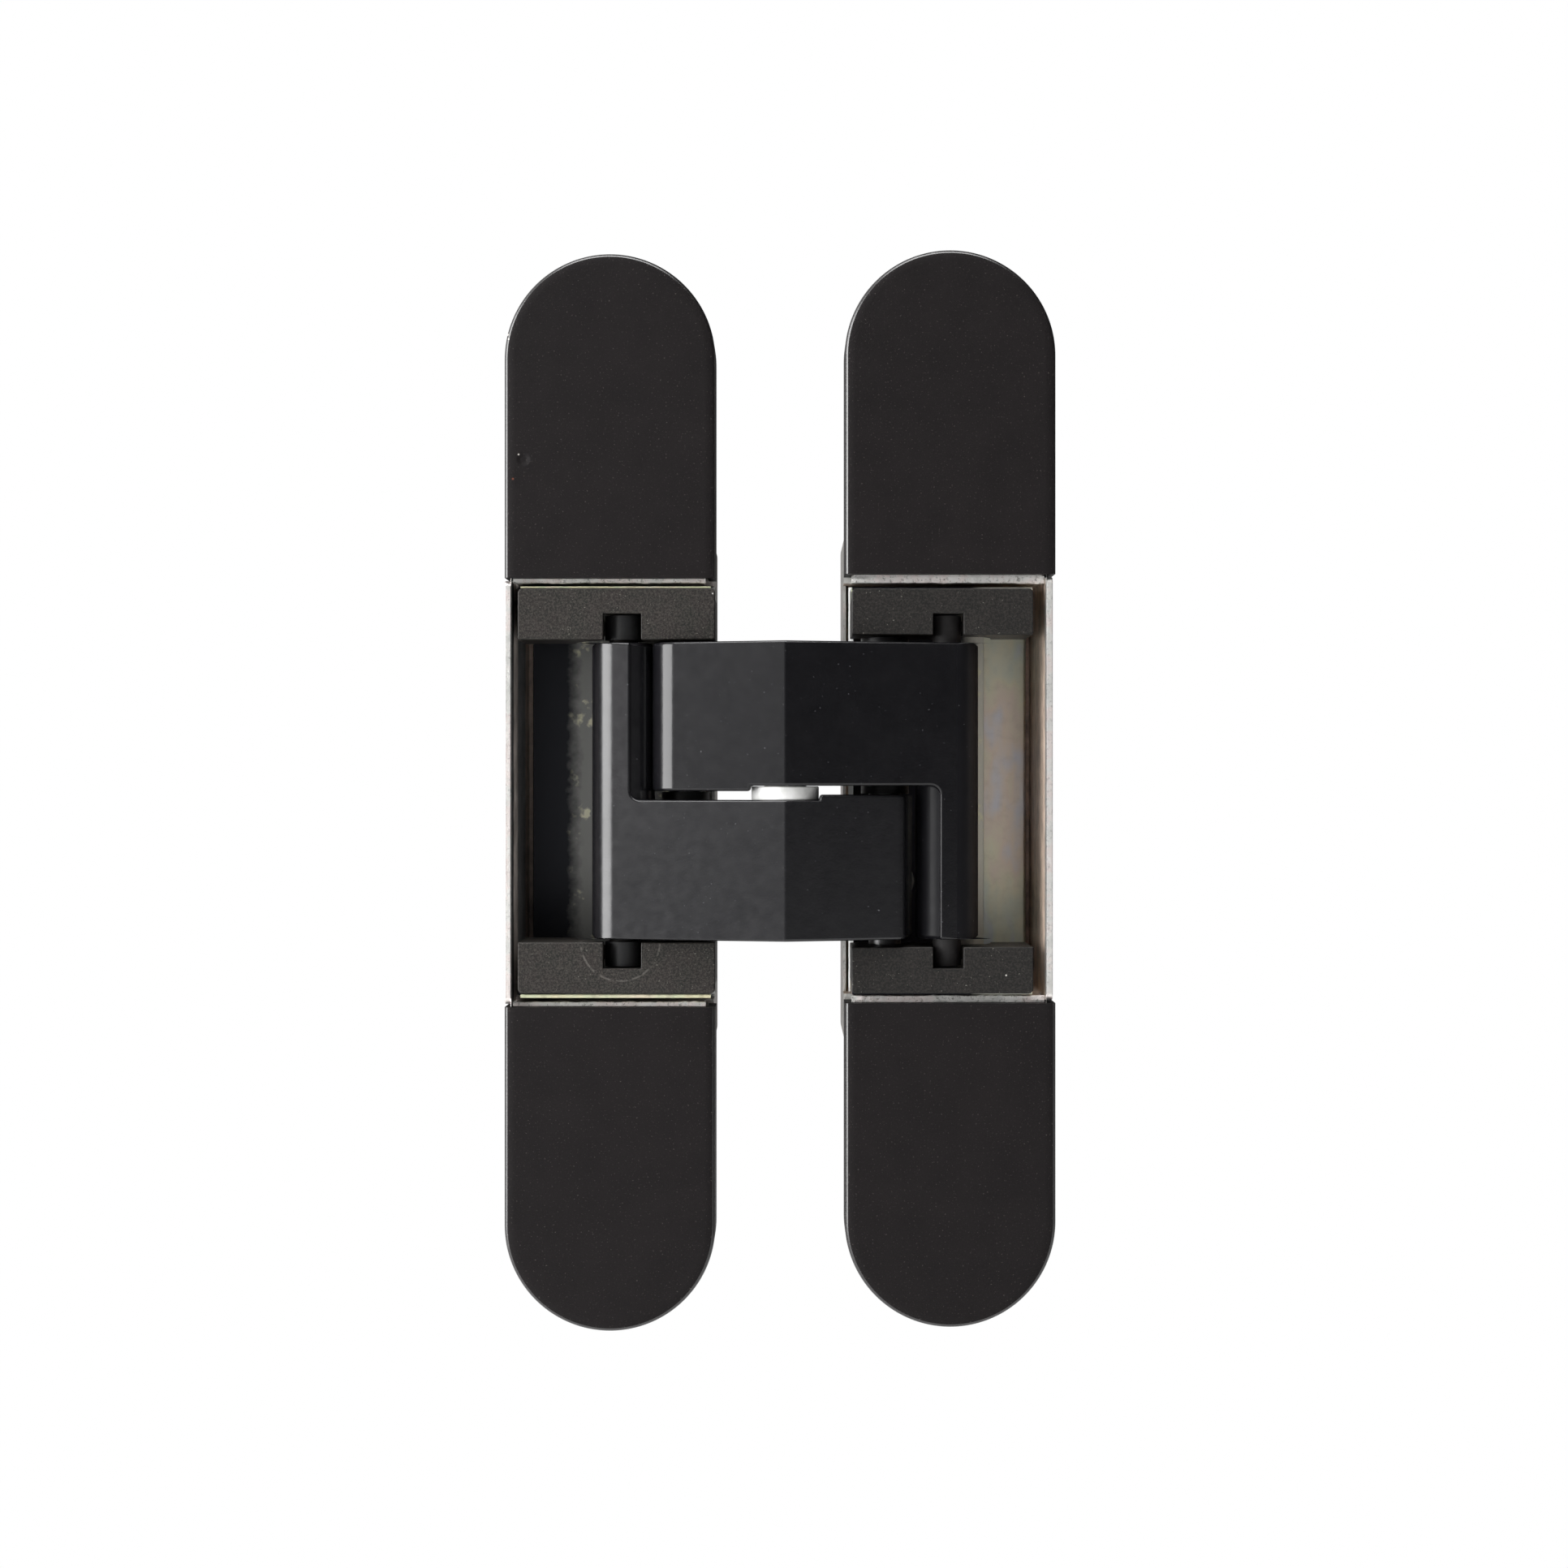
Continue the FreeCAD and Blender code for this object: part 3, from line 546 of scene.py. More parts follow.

# %% [markdown]
# A dark band of painted shade lies across the steel, beside a lighter tint with cream-coloured
# blotches. Noise is added to X before it is compared, so the band's borders are ragged.


# %% Steel with a painted shade band
def shade_banded_steel(name, film, start, end, beyond_tint):
    """Passivated steel with a painted shade band between two places along X, and a tint past it.
    """
    made, tree, shader, place = passivated_steel(name, film, 1.0)
    bare = shader.inputs["Base Color"].links[0].from_socket
    x = add_node(tree, "ShaderNodeSeparateXYZ", {"Vector": place}).outputs["X"]
    stains = noise(tree, place, 900, 4.0, 0.6)
    ragged = calculate(tree, "MULTIPLY_ADD", stains, 1.6 * MM, x)
    begin = add_node(tree, "ShaderNodeMapRange", {
        "Value": ragged, "From Min": start, "From Max": start + 0.3 * MM}).outputs[0]
    done = add_node(tree, "ShaderNodeMapRange", {
        "Value": ragged, "From Min": end, "From Max": end + 1.7 * MM}).outputs[0]
    cream = ramp(tree, noise(tree, place, 620, 3.0), [(0.60, 0.0), (0.68, 1.0)])
    dull = mix_colours(tree, cream, beyond_tint, (0.95, 0.93, 0.72))
    # Painted shade: the dark band, with the tint past it.
    painted_dark_band = mix_colours(tree, done, (0.042, 0.043, 0.050), dull)
    tree.links.new(mix_colours(tree, begin, bare, painted_dark_band), shader.inputs["Base Color"])
    return made


# %% [markdown]
# ### Nylon, steel and sleeves
# The small running parts are white nylon, turned steel and black sleeves. The nylon washer
# and bushes are white with a faint cloud.


# %% Nylon
def nylon():
    """White nylon with a faint cloud."""
    made, tree, shader, place = finish("white nylon")
    cloud = noise(tree, place, 900, 3.0)
    tint = ramp(tree, cloud, [(0.3, (0.66, 0.66, 0.64)), (0.7, (0.80, 0.80, 0.79))])
    tree.links.new(tint, shader.inputs["Base Color"])
    shader.inputs["Roughness"].default_value = 0.5
    relief(tree, shader, noise(tree, place, 4000, 2.0), 0.01 * MM, 0.4)
    return made


# %% [markdown]
# Turned steel has fine rings. The noise is stretched, so that it changes quickly along the
# pin's length and hardly at all round it.


# %% Turned steel
def turned_steel(name, dark, light, roughness):
    """Metal with fine rings from turning, which run across the pin's length."""
    made, tree, shader, place = finish(name)
    rings = noise(tree, stretched(tree, place, (300, 300, 9000)), 1.0, 2.0)
    tree.links.new(ramp(tree, rings, [(0.3, dark), (0.7, light)]), shader.inputs["Base Color"])
    shader.inputs["Metallic"].default_value = 1.0
    shader.inputs["Roughness"].default_value = roughness
    relief(tree, shader, rings, 0.004 * MM, 0.5)
    return made


# %% [markdown]
# The black sleeves and spacers are plain moulded plastic.


# %% Sleeve plastic
def sleeve_plastic(name, dark, light, roughness):
    """Plain black plastic with a faint cloud."""
    made, tree, shader, place = finish(name)
    cloud = noise(tree, place, 1500, 3.0)
    tint = ramp(tree, cloud, [(0.3, dark), (0.7, light)])
    tree.links.new(tint, shader.inputs["Base Color"])
    shader.inputs["Roughness"].default_value = roughness
    relief(tree, shader, cloud, 0.006 * MM, 0.5)
    return made


# %% [markdown]
# ## Finishes for the solids
# Each solid of the frame has a slot for one material. Every slot gets its finish here.

# %% Make the finishes and give them to the solids
left_block_tints = (0.0060, 0.0064, 0.0050), (0.0110, 0.0086, 0.0078)
sleeve_tints = (0.006, 0.006, 0.0065), (0.010, 0.010, 0.011)
finishes = {
    "zinc_casting": cast_zinc("cast zinc", leaf_bands, 0.85, 0.62),
    "cap_black": cap_plastic("cap plastic", (0.64, 0.50), 0.20),
    "guide_black": guide_plastic("guide plastic", *left_block_tints, 0.55),
    "arm_black": arm_coating("arm coating", (0.19, 0.25), 0.6),
    "passivated_steel": passivated_steel("passivated steel", deep_film, 1.0)[0],
    "pin_steel": turned_steel("ground steel", (0.10, 0.10, 0.10), (0.16, 0.16, 0.16), 0.35),
    "dark_pin": turned_steel("blackened steel", (0.018, 0.017, 0.016), (0.030, 0.028, 0.027), 0.6),
    "screw_steel": turned_steel("plated steel", (0.30, 0.30, 0.29), (0.42, 0.42, 0.40), 0.40),
    "sleeve_black": sleeve_plastic("sleeve plastic", *sleeve_tints, 0.45),
    "nylon_white": nylon(),
}
slot_of = {part["node"]: part["material_slot"] for part in frame["record"]["subparts"]}
for name, solid in frame["nodes"].items():
    solid.data.materials.clear()
    solid.data.materials.append(finishes[slot_of[name]])
print(len(finishes), "finishes on", len(frame["nodes"]), "solids")

# %% [markdown]
# ## Softened edges
# No real edge is knife sharp: plastic comes from a mould with small radii, and steel is
# tumbled. A copy of each solid's mesh is merged, its flat faces are joined, and a Bevel
# modifier rounds what is left of the sharp edges. Each edge's bevel weight is its own share
# of the round. A second modifier weights the normals by area, so flat faces stay flat. The
# copy then stands for the solid.

# %% Helpers for pieces
weld_distance = 0.0005 * MM


def added(name, mesh, node, replaced=True):
    """Links a mesh as a piece that moves and is named like a node, and may stand for it."""
    mesh.materials.append(finishes[slot_of[node]])
    piece = bpy.data.objects.new(name, mesh)
    scene.collection.objects.link(piece)
    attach(piece, frame["nodes"][node]["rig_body"])
    if replaced:
        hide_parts(node)
    return piece


def face_centres(mesh):
    """The middle of every face, one row each."""
    centres = np.zeros(len(mesh.polygons) * 3)
    mesh.polygons.foreach_get("center", centres)
    return centres.reshape(-1, 3)


print("points closer than", weld_distance / MM, "mm are merged")

# %% [markdown]
# The rule `share` gives an edge's share of the round. Without a rule every sharp edge gets
# all of it.

# %% Round the edges of a solid
flat_angle = math.radians(0.4)
sharp_angle = math.radians(32)


def softened(name, radius, share=None, steps=2):
    """A merged copy of a solid, whose sharp edges get a small round."""
    shell = bmesh.new()
    shell.from_mesh(frame["nodes"][name].data)
    bmesh.ops.remove_doubles(shell, verts=shell.verts, dist=weld_distance)
    bmesh.ops.dissolve_limit(shell, angle_limit=flat_angle, verts=shell.verts, edges=shell.edges)
    weight = shell.edges.layers.float.new("bevel_weight_edge")
    for edge in shell.edges:
        edge.smooth = edge.calc_face_angle(0.0) < sharp_angle
        if not edge.smooth:
            edge[weight] = share(edge) if share else 1.0
    for face in shell.faces:
        face.smooth = True
    mesh = bpy.data.meshes.new(name + "_finished")
    shell.to_mesh(mesh)
    shell.free()
    if "custom_normal" in mesh.attributes:
        mesh.attributes.remove(mesh.attributes["custom_normal"])
    piece = added(name + "_finished", mesh, name)
    bevel = piece.modifiers.new("soft edges", "BEVEL")
    bevel.width = radius
    bevel.segments = steps
    bevel.limit_method = "WEIGHT"
    bevel.use_clamp_overlap = False
    flats = piece.modifiers.new("flat faces stay flat", "WEIGHTED_NORMAL")
    flats.keep_sharp = True
    flats.weight = 80
    return piece


edge_rounds = {"centre_washer": 0.12 * MM, "frame_bracket": 0.08 * MM, "leaf_bracket": 0.08 * MM,
               "frame_block_top": 0.07 * MM, "frame_block_bottom": 0.07 * MM,
               "leaf_block_top": 0.07 * MM, "leaf_block_bottom": 0.07 * MM}
softened_pieces = {name: softened(name, radius) for name, radius in edge_rounds.items()}
print("softened", sorted(softened_pieces))

# %% [markdown]
# The cases are rounded along their front edges only. The long inner edge of each outer wall
# has the full round, which catches the light, and the others have a third of it.

# %% Round the edges of the cases
wall_thickness = 0.7 * MM
front_reach = 2.4 * MM
long_edge = 5.0 * MM
same_place = 0.02 * MM


def case_share(wall_x):
    """A rule that rounds a case's front edges, and most of all the outer wall's inner one."""
    def share(edge):
        """All of the round on the wall's long edge, a third on other front edges, or none."""
        first, last = (vertex.co for vertex in edge.verts)
        if max(first.y, last.y) > face_y + front_reach:
            return 0.0
        on_wall = max(abs(first.x - wall_x), abs(last.x - wall_x)) < same_place
        return 1.0 if on_wall and abs(first.z - last.z) > long_edge else 0.3
    return share


for name, wall_x in (("frame_case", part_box("frame_case")[0].x + wall_thickness),
                     ("leaf_case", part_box("leaf_case")[1].x - wall_thickness)):
    softened_pieces[name] = softened(name, 0.26 * MM, case_share(wall_x))
print("cases softened, walls", wall_thickness / MM, "mm thick")

# %% [markdown]
# The arms have a larger round along their front edges, about 0.3 mm, but only a small one on
# the chamfers of their round ends, where a large one would run into itself.

# %% Round the edges of the arms
barrel_reach = 3.35 * MM


def middle_of(node):
    """The middle of a node's box, as (x, y)."""
    low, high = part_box(node)
    return np.array((low + high)[:2]) / 2


def arm_share(pin):
    """A rule that gives edges on the barrel round a pin a third of the full round."""
    axis = Vector(middle_of(pin))

    def share(edge):
        """A third of the round close to the pin, and all of it elsewhere."""
        near = all((vertex.co.xy - axis).length < barrel_reach for vertex in edge.verts)
        return 0.3 if near else 1.0
    return share


for name, pin in (("upper_arm", "leaf_slide_pin"), ("lower_arm", "frame_slide_pin")):
    softened_pieces[name] = softened(name, 0.28 * MM, arm_share(pin), steps=3)
    print(name, "softened", len(softened_pieces[name].data.vertices), "points")

# %% [markdown]
# The upper arm is glossier than the lower one, and its coating is a little darker, a painted
# shade. On the barrel round its sliding pin the coating is dull, a painted shade for the lower
# arm's shadow that dims the highlight there: a face whose middle lies close to the pin's axis
# takes the dull finish.

# %% Give the upper arm its two finishes
# Painted shade: the glossy coating's tone of 0.85 makes it darker than the lower arm's.
glossy = arm_coating("glossy arm coating", (0.14, 0.19), 0.46, 0.85)
# Painted shade: this dull coating stands for the lower arm's shadow on the barrel.
worn = arm_coating("arm coating dulled as painted shade", (0.34, 0.42), 0.12, 1.0)
upper_mesh = softened_pieces["upper_arm"].data
upper_mesh.materials[0] = glossy
upper_mesh.materials.append(worn)
from_pin = face_centres(upper_mesh)[:, :2] - middle_of("leaf_slide_pin")
on_barrel = np.linalg.norm(from_pin, axis=1) < barrel_reach
upper_mesh.polygons.foreach_set("material_index", on_barrel.astype(np.int32))
print(int(on_barrel.sum()), "of", len(on_barrel), "faces of the upper arm are dulled as painted shade")

# %% [markdown]
# ## Inside of the pockets
# The painted shade and stain of the bands start a little way down each pocket's wall. Each
# face of a case gets the depth at which they start, and faces outside the pocket get a depth
# that is never met. Faces outside that look sideways or back are marked for a painted shade
# that darkens them.

# %% Paint the faces of the cases
never = 1.0
pocket_half_width = 10.5 * MM
pocket_half_height = 21.85 * MM
pocket_lip = 0.6 * MM
pocket_end = 22.6 * MM
side_shade_from = 2.7 * MM


def paint_faces(mesh, name, values):
    """Stores one number for each face."""
    layer = mesh.attributes.new(name, "FLOAT", "FACE")
    layer.data.foreach_set("value", np.asarray(values, dtype=np.float32))


for half, start in (("frame", 0.8 * MM), ("leaf", 1.2 * MM)):
    low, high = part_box(half + "_case")
    mesh = softened_pieces[half + "_case"].data
    centres = face_centres(mesh)
    away = np.abs(centres - np.array((low + high) / 2))
    inside = ((away[:, 0] < pocket_half_width) & (away[:, 2] < pocket_half_height)
              & (centres[:, 1] > face_y + pocket_lip) & (centres[:, 1] < face_y + pocket_end))
    paint_faces(mesh, "shade_and_stain_from", np.where(inside, start, never))
    # Painted shade: outer faces that look sideways or back, away from the front, are marked to be
    # darkened.
    normals = np.zeros(len(mesh.polygons) * 3)
    mesh.polygons.foreach_get("normal", normals)
    to_front = normals.reshape(-1, 3)[:, 1] < -0.5
    dull = ~inside & ~to_front & (centres[:, 1] > face_y + side_shade_from)
    paint_faces(mesh, "painted_shade_side", dull)
    print(half, "case:", int(inside.sum()), "of", len(inside), "faces lie in the pocket")

# %% [markdown]
# ## Caps
# A cap is one section that is carried round its outline. Every point of it is
#
# outline point + inward direction x how far in + (0, depth, 0)
#
# and the grid of all section points at all outline points is worked out at once. The
# section runs from the middle of the face over a narrow slope and a rounded rim, down the
# skirt, and back along the underside.

# %% The cap's section
cap_plate = 2.0 * MM
skirt_depth = 6.0 * MM
skirt_wall = 0.8 * MM
slope_in = 0.70 * MM
rim_in = 0.32 * MM
rim_start = 0.08 * MM
rim_depth = 0.55 * MM
steepness = math.radians(25)


def cap_section(radius):
    """(inward, deep) pairs. The rim is a quarter ellipse without its flattest 25 degrees."""
    turn = np.linspace(steepness, math.pi / 2, 7)
    wide = rim_in / (1 - math.sin(steepness))
    tall = (rim_depth - rim_start) / math.cos(steepness)
    rim = np.stack([wide * (1 - np.sin(turn)), rim_depth - tall * np.cos(turn)], axis=1)
    face = np.stack([np.linspace(radius, slope_in, 24), np.zeros(24)], axis=1)
    side = np.stack([np.zeros(5), np.linspace(rim_depth, skirt_depth, 6)[1:]], axis=1)
    back = np.stack([np.linspace(skirt_wall, radius, 6), np.full(6, cap_plate)], axis=1)
    foot = np.array([[skirt_wall, skirt_depth]])
    return np.concatenate([face, rim, side, foot, back])


print(len(cap_section(11.0 * MM)), "points in the section")

# %% [markdown]
# The outline goes up one side, round the end and down the other side. On the sides the
# inward direction is across, and round the end it points at the middle of the round.


# %% The cap's outline
def cap_outline(low, high, up):
    """Points (x, z) and inward directions of an outline with its round end up or down."""
    radius = (high.x - low.x) / 2
    middle_x = (low.x + high.x) / 2
    start, end = (low.z, high.z) if up > 0 else (high.z, low.z)
    round_z = end - up * radius
    straight = np.linspace(start, round_z, 50)[:-1]
    turn = np.linspace(math.pi, 0, 91)
    side = np.ones_like(straight)
    x = np.concatenate([side * low.x, middle_x + radius * np.cos(turn), side * high.x])
    z = np.concatenate([straight, round_z + up * radius * np.sin(turn), straight[::-1]])
    in_x = np.concatenate([side, -np.cos(turn), -side])
    in_z = np.concatenate([0 * side, -up * np.sin(turn), 0 * side])
    return np.stack([x, z], axis=1), np.stack([in_x, in_z], axis=1)


# %% [markdown]
# Two helpers serve the caps and every later piece. One numbers the quads between the
# neighbouring points of a grid, and the other makes one closed mesh of points and faces.


# %% Helpers for meshes
def closed_mesh(name, points, faces, smooth_angle=12.0):
    """Merges points that coincide, turns all faces outward and smooths the shallow edges."""
    shell = bmesh.new()
    made = [shell.verts.new(point) for point in points]
    for face in faces:
        shell.faces.new([made[index] for index in face])
    bmesh.ops.remove_doubles(shell, verts=shell.verts, dist=weld_distance)
    bmesh.ops.recalc_face_normals(shell, faces=shell.faces)
    for face in shell.faces:
        face.smooth = True
    for edge in shell.edges:
        edge.smooth = edge.calc_face_angle(0.0) < math.radians(smooth_angle)
    mesh = bpy.data.meshes.new(name)
    shell.to_mesh(mesh)
    shell.free()
    return mesh


def grid_faces(rows, columns, first=0, around=False):
    """Quads between neighbours of a grid whose points are numbered row by row."""
    last = columns if around else columns - 1
    row, column = np.meshgrid(np.arange(rows - 1), np.arange(last), indexing="ij")
    here = first + row * columns + column
    beside = first + row * columns + (column + 1) % columns
    quads = np.stack([here, beside, beside + columns, here + columns], axis=-1)
    return quads.reshape(-1, 4).tolist()


# %% [markdown]
# Two pegs hold each cap, and reach into the holes of its case. A peg is two rings of points
# that are joined and closed.

# %% A peg
peg_sides = 24
peg_radius = 1.5 * MM
peg_end = 10.0 * MM
peg_places = (30.0 * MM, 42.0 * MM)


def peg(x, z, radius, start, end, first):
    """Points and faces of a closed round peg along Y."""
    turn = np.linspace(0, 2 * math.pi, peg_sides, endpoint=False)
    ring = np.stack([x + radius * np.cos(turn), 0 * turn, z + radius * np.sin(turn)], axis=1)
    levels = [ring + np.array([0.0, y, 0.0]) for y in (start, end)]
    faces = grid_faces(2, peg_sides, first, around=True)
    ends = np.arange(first, first + 2 * peg_sides).reshape(2, peg_sides)
    return np.concatenate(levels), faces + ends.tolist()


print("pegs", round(2 * peg_radius / MM, 1), "mm across")

# %% [markdown]
# The grid's two sides meet along the middle of the face, where their points are merged, and
# one flat face closes the straight end. Faces on the rim take the rubbed plastic: how far in
# a face lies is the cap's half width less its distance from the middle line, or from the
# round end's middle.


# %% Build the caps
def build_cap(half, side, up):
    """One cap: its section at every point of its outline, two pegs and the rubbed rim."""
    name = half + "_cap_" + side
    low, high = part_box(name)
    outline, inward = cap_outline(low, high, up)
    section = cap_section((high.x - low.x) / 2)
    spots_in = outline[:, None, :] + inward[:, None, :] * section[None, :, :1]
    deep = np.broadcast_to(low.y + section[None, :, 1], spots_in.shape[:2])
    grid = np.stack([spots_in[..., 0], deep, spots_in[..., 1]], axis=-1)
    rows, columns = grid.shape[:2]
    points = grid.reshape(-1, 3)
    faces = grid_faces(rows, columns)
    last_row = (rows - 1) * columns
    faces.append(list(range(columns)) + list(range(last_row + columns - 2, last_row, -1)))
    case_low, case_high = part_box(half + "_case")
    case_middle = (case_low + case_high) / 2
    for place in peg_places:
        more, sides = peg(case_middle.x, case_middle.z + up * place, peg_radius,
                          low.y + cap_plate * 0.8, low.y + peg_end, len(points))
        points = np.concatenate([points, more])
        faces += sides
    mesh = closed_mesh(name + "_finished", points, faces)
    piece = added(name + "_finished", mesh, name)
    mesh.materials.append(rubbed_rim)
    x, y, z = face_centres(mesh).T
    round_z = (high.z if up > 0 else low.z) - up * (high.x - low.x) / 2
    past_round = np.maximum(up * (z - round_z), 0)
    from_rim = (high.x - low.x) / 2 - np.hypot(x - (low.x + high.x) / 2, past_round)
    rubbed = (from_rim < rim_in) & (y < low.y + rim_depth)
    mesh.polygons.foreach_set("material_index", rubbed.astype(np.int32))
    return piece


for half in ("frame", "leaf"):
    for side, up in (("top", 1), ("bottom", -1)):
        piece = build_cap(half, side, up)
        print(piece.name, len(piece.data.vertices), "points")

# %% [markdown]
# ## Cross walls of the left case
# In the picture the left case's cross walls stand a little further apart than the solids'.
# All their points move outward at once.

# %% Draw the cross walls back
cross_wall_z = 21.8 * MM
drawn_back = 0.18 * MM

frame_mesh = softened_pieces["frame_case"].data
frame_low, frame_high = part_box("frame_case")
place = np.zeros(len(frame_mesh.vertices) * 3)
frame_mesh.vertices.foreach_get("co", place)
place = place.reshape(-1, 3)
rise = place[:, 2] - (frame_low.z + frame_high.z) / 2
on_cross_wall = np.abs(np.abs(rise) - cross_wall_z) < same_place / 2
place[:, 2] += np.where(on_cross_wall, np.sign(rise) * drawn_back, 0)
frame_mesh.vertices.foreach_set("co", place.ravel())
print(int(on_cross_wall.sum()), "points of the frame case's cross walls drawn back")

# %% [markdown]
# ## Flash along the cast edges
# Where the halves of the mould met, a thin ragged skin of zinc is left along the front edge
# of each cross wall. It is a bar with a six-sided section whose tip wanders:
#
# reach = longest reach x sum over n of sin(2 pi n x / wave length + random phase) / root n
#
# Towards one end the metal is crumpled, and there the bar's front lies further forward. The
# raw metal is dark in its pits.

# %% Build the ragged edges
flash_front = 1.88 * MM
flash_reach = 0.12 * MM
flash_half_length = 10.1 * MM
flash_root = 2.60 * MM
crumple = 0.25 * MM
raw_edge = cast_zinc("raw cast edge", frame_bands, 0.05, (0.16, 0.15, 0.13))
random = np.random.default_rng(7)


def wander(along, waves, longest):
    """A sum of sines with random phases, scaled to lie between 0 and 1."""
    number = np.arange(1, waves + 1)
    phase = random.uniform(0, 2 * math.pi, waves)
    height = np.sin(2 * math.pi * along[:, None] * number / longest + phase) / np.sqrt(number)
    total = height.sum(axis=1)
    return (total - total.min()) / (total.max() - total.min())


def build_flash(half, side, up, burr, reach_in):
    """One ragged bar along the inner edge of a cross wall, crumpled towards the burr's side."""
    low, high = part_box(half + "_case")
    middle = (low + high) / 2
    wall_z = middle.z + up * (cross_wall_z - reach_in)
    x = np.linspace(middle.x - flash_half_length, middle.x + flash_half_length, 320)
    tip = flash_reach * wander(x, 24, 21 * MM)
    lump = flash_reach * wander(x, 14, 30 * MM)
    near_end = np.clip((burr * (x - middle.x) - 5 * MM) / (4 * MM), 0, 1)
    front = flash_front + 0.10 * MM * wander(x, 18, 16 * MM) - near_end * crumple
    inward = [(-0.75 * MM + 0 * x, 2.02 * MM + 0 * x),
              (-0.45 * MM + lump, front + 0.02 * MM),
              (-0.05 * MM + 0.4 * tip, front),
              (tip, front + 0.16 * MM),
              (0.5 * tip, flash_root - 0.10 * MM + 0 * x),
              (-0.30 * MM + 0 * x, flash_root + 0 * x)]
    grid = np.stack([np.stack([x, face_y + deep, wall_z - up * reach], axis=-1)
                     for reach, deep in inward], axis=1)
    faces = grid_faces(len(x), 6, around=True)
    faces += [list(range(6)), list(range(6 * len(x) - 6, 6 * len(x)))]
    name = "%s_flash_%s" % (half, side)
    mesh = closed_mesh(name, grid.reshape(-1, 3), faces, smooth_angle=35.0)
    paint_faces(mesh, "shade_and_stain_from", np.full(len(mesh.polygons), never))
    piece = added(name, mesh, half + "_case", replaced=False)
    mesh.materials[0] = raw_edge
    return piece


for half, side, up, burr, reach_in in (
        ("frame", "top", 1, 1, -0.20 * MM), ("frame", "bottom", -1, 1, -0.20 * MM),
        ("leaf", "top", 1, -1, 0.24 * MM), ("leaf", "bottom", -1, 1, 0.05 * MM)):
    piece = build_flash(half, side, up, burr, reach_in)
    print(piece.name, len(piece.data.vertices), "points")

# %% [markdown]
# ## Bright lip of the leaf bracket
# Beside the hinge-side wall of the leaf half a bright strip shows in the gap. It is the
# bracket's turned lip. Its slanted side faces the light, and its inner edge wanders a little.

# %% Build the lip
lip_section = np.array([(6.80, 9.63), (7.10, 9.55), (7.32, 9.49), (7.32, 9.85), (6.80, 9.85)]) * MM
lip_half_height = 21.85 * MM
lip_inner = 7.0 * MM
lip_z = np.linspace(-lip_half_height, lip_half_height, 200)
lip_wave = 0.05 * MM * (wander(lip_z, 30, 44 * MM) - 0.5)
lip_grid = np.stack([np.stack([pin_x + x + lip_wave * (x < lip_inner), face_y + y + 0 * lip_z,
                               pin_z + lip_z], axis=-1) for x, y in lip_section], axis=1)
lip_faces = grid_faces(len(lip_z), 5, around=True)
lip_faces += [list(range(5)), list(range(5 * len(lip_z) - 5, 5 * len(lip_z)))]
lip_mesh = closed_mesh("leaf_bracket_lip", lip_grid.reshape(-1, 3), lip_faces, smooth_angle=35.0)
lip = added("leaf_bracket_lip", lip_mesh, "leaf_bracket", replaced=False)
lip_mesh.materials[0] = turned_steel("bright lip", (0.86, 0.87, 0.85), (0.95, 0.95, 0.93), 0.40)
print("lip", [round(size / MM, 1) for size in lip.dimensions], "mm")

# %% [markdown]
# ## Finishes of single pieces
# Some pieces differ from others of their slot. The brackets have a dark band of painted shade:
# on the left one where the pocket floor lies dark, and on the right one as the arm's shadow.
# The left case has its own bands of painted shade, painted light and stain. The right blocks
# are darker, and the right sliding pin is worn.

# %% Give single pieces their own finishes
# Painted shade: the dark bands on the brackets, on the left where the pocket floor lies dark and
# on the right as the arm's shadow.
left_shade_band = (-9.3 * MM, -4.9 * MM, (0.38, 0.38, 0.365))
arm_shadow_band = (26.0 * MM, 38.6 * MM, (0.86, 0.84, 0.74))
right_block_tints = (0.0030, 0.0028, 0.0025), (0.0050, 0.0042, 0.0038)
worn_tints = (0.020, 0.018, 0.018), (0.027, 0.024, 0.024)
right_block = guide_plastic("darker guide plastic", *right_block_tints, 0.26)
own_finishes = {
    "frame_bracket": shade_banded_steel("steel with a painted shade band", deep_film, *left_shade_band),
    "leaf_bracket": shade_banded_steel("steel with the arm's painted shadow", deep_film, *arm_shadow_band),
    "frame_case": cast_zinc("cast zinc with dark bands", frame_bands, 0.80, 0.62),
    "leaf_block_top": right_block,
    "leaf_block_bottom": right_block,
}
for name, own in own_finishes.items():
    softened_pieces[name].data.materials[0] = own
worn_sleeve = sleeve_plastic("worn sleeve", *worn_tints, 0.6)
frame["nodes"]["leaf_slide_pin"].data.materials[0] = worn_sleeve
print("own finishes for", sorted(own_finishes))

# %% [markdown]
# ## Pressed edges of the brackets
# The brackets were cut in a press. The left one's two ends show as thin golden lines beside
# its blocks, and the floor of the right one has a rounded edge where it was cut. Each is a
# bar: a section of a few points, carried along X or Z.


# %% Build a bar along X or Z
def bar(name, node, section, ends, along):
    """A closed bar. Its section has points (across, depth), and it runs along one axis."""
    run = np.linspace(*ends, 60)
    rows = []
    for across, depth in section:
        across = across + 0 * run
        x, z = (run, across) if along == "X" else (across, run)
        rows.append(np.stack([pin_x + x, face_y + depth + 0 * run, pin_z + z], axis=-1))
    grid = np.stack(rows, axis=1)
    count = len(section)
    faces = grid_faces(len(run), count, around=True)
    faces += [list(range(count)), list(range(count * (len(run) - 1), count * len(run)))]
    mesh = closed_mesh(name, grid.reshape(-1, 3), faces, smooth_angle=35.0)
    return added(name, mesh, node, replaced=False)


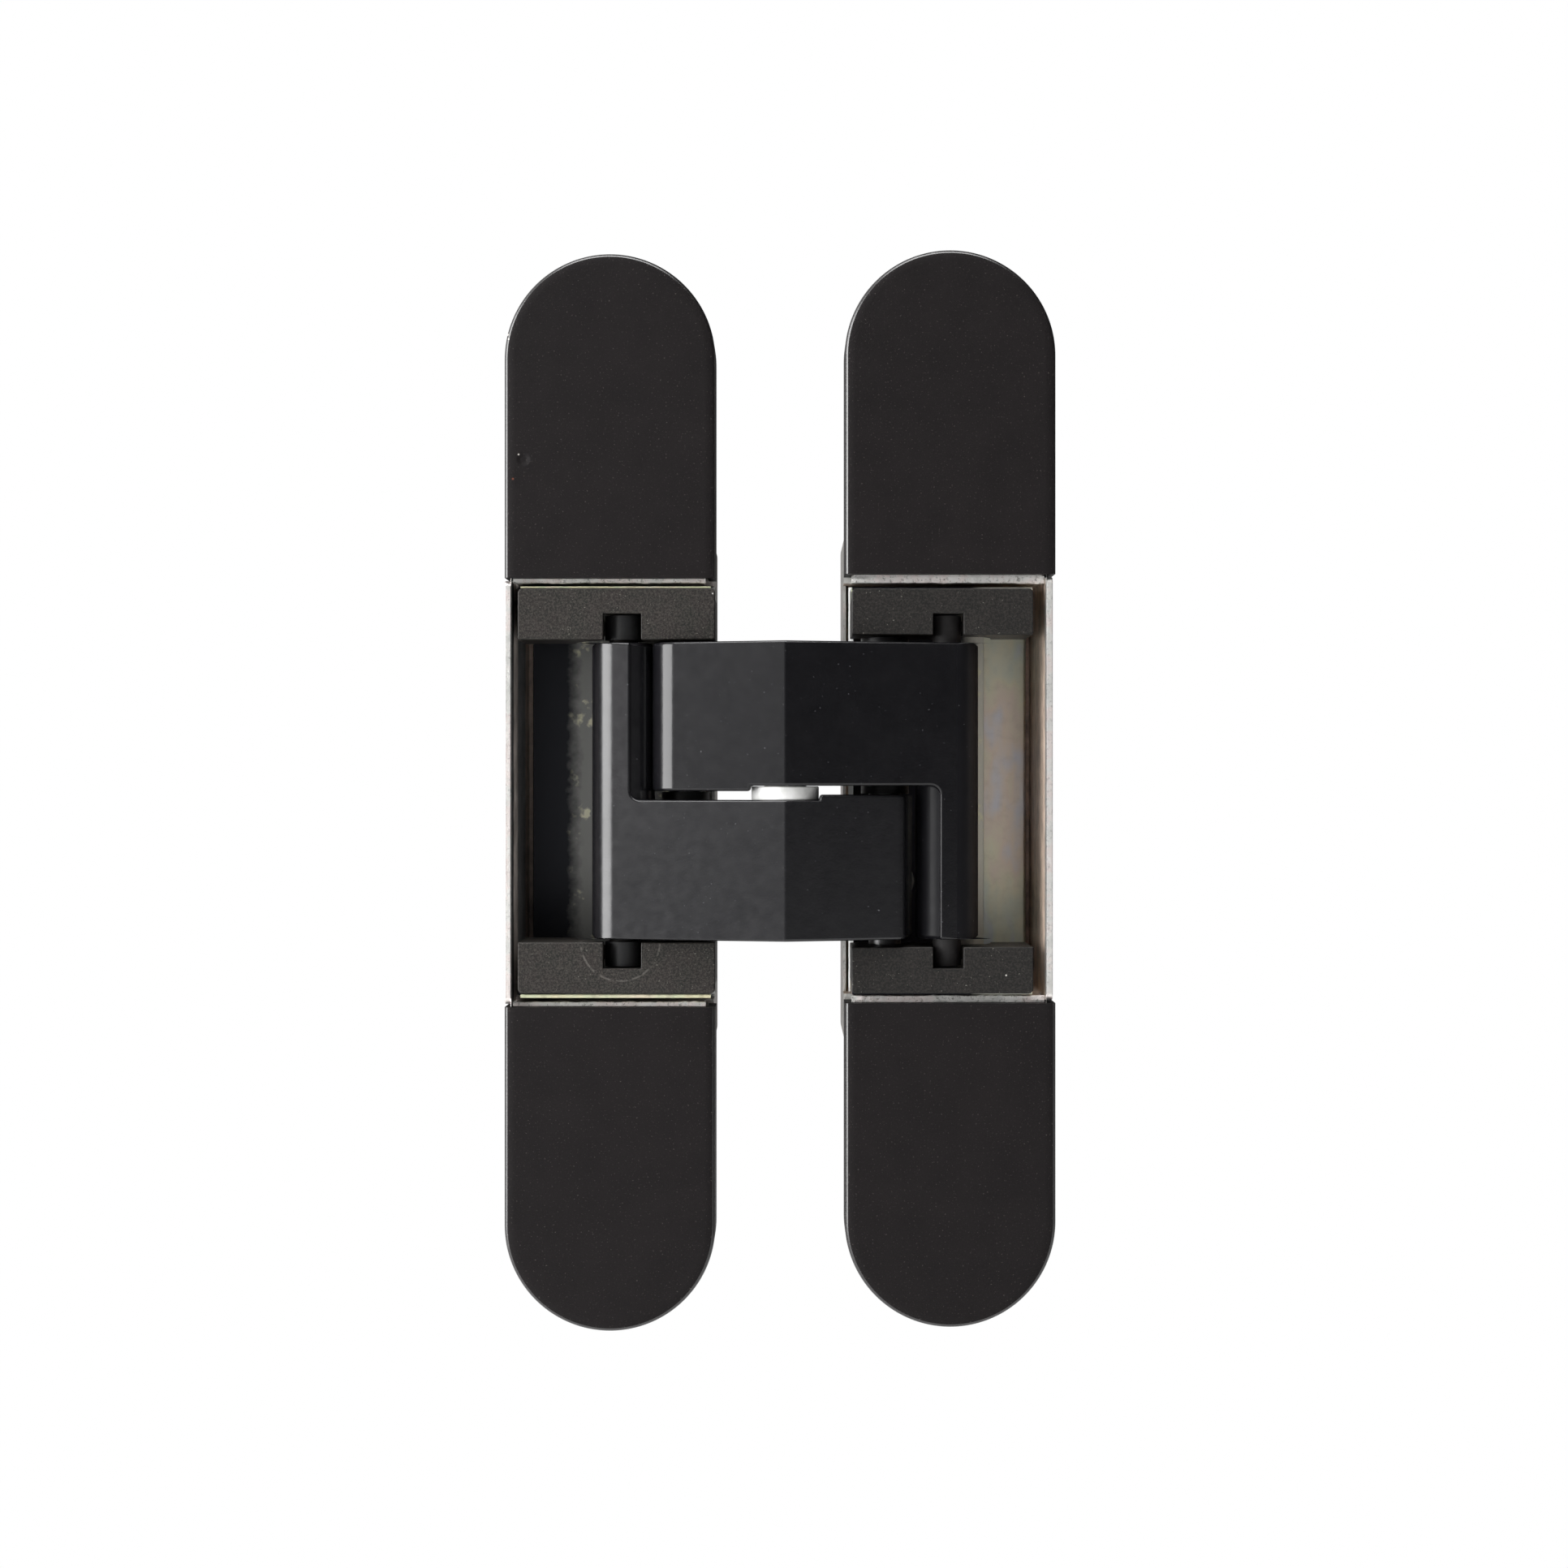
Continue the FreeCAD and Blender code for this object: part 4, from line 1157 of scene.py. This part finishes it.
def round_section(low, high, front, back):
    """A section between two edges, whose front is half an ellipse."""
    turn = np.linspace(0, math.pi, 9)
    centre, half = (low + high) / 2, (high - low) / 2
    nose = np.stack([centre - half * np.cos(turn),
                     front + 0.6 * half * (1 - np.sin(turn))], axis=1)
    return np.concatenate([nose, [(high, back), (low, back)]])


# %% [markdown]
# The golden lines run along X. Their finish isn't metallic, so that they stay bright where
# nothing bright is mirrored in them.

# %% Build the golden lines
gold_lines = {"frame_bracket_edge_top": (21.22 * MM, 21.38 * MM),
              "frame_bracket_edge_bottom": (-21.66 * MM, -21.27 * MM)}
gold_ends = (-27.7 * MM, -7.8 * MM)
gold_front = 0.95 * MM
gold_back = 2.9 * MM
gold_film = [(0.90, 0.88, 0.60), (0.95, 0.90, 0.60), (0.80, 0.86, 0.58), (0.98, 0.88, 0.66),
             (0.86, 0.88, 0.70)]
gold = passivated_steel("cut edge", gold_film, 0.0)[0]
for name, (low, high) in gold_lines.items():
    section = round_section(low, high, gold_front, gold_back)
    line = bar(name, "frame_bracket", section, gold_ends, "X")
    line.data.materials[0] = gold
    print(name, [round(size / MM, 2) for size in line.dimensions], "mm")

# %% [markdown]
# The floor of the right bracket is a flat sheet that ends in a quarter round, with the pale
# film, which is partly painted light. It starts past the place that the arm's end reaches as
# the hinge closes.

# %% Build the right bracket's floor
floor_start = 22.0 * MM
floor_end = 26.32 * MM
floor_half_height = 17.3 * MM
floor_front = 19.42 * MM
floor_back = 19.75 * MM
edge_round = 0.34 * MM
turn = np.linspace(math.pi / 2, 0, 6)
quarter = np.stack([floor_end + edge_round * np.cos(turn),
                    floor_front + (floor_back - floor_front) * (1 - np.sin(turn))], axis=1)
floor_section = np.concatenate([[(floor_start, floor_back), (floor_start, floor_front)], quarter])
sheet = bar("leaf_bracket_floor", "leaf_bracket", floor_section,
            (-floor_half_height, floor_half_height), "Z")
# Partly painted light: the pale film makes this floor and the slider plate brighter than the rest
# of the bracket's steel.
pale_steel = passivated_steel("pale passivated steel", pale_film, 0.92, 0.15)[0]
sheet.data.materials[0] = pale_steel
frame["nodes"]["leaf_slider_plate"].data.materials[0] = pale_steel
print("floor sheet", [round(size / MM, 2) for size in sheet.dimensions], "mm")
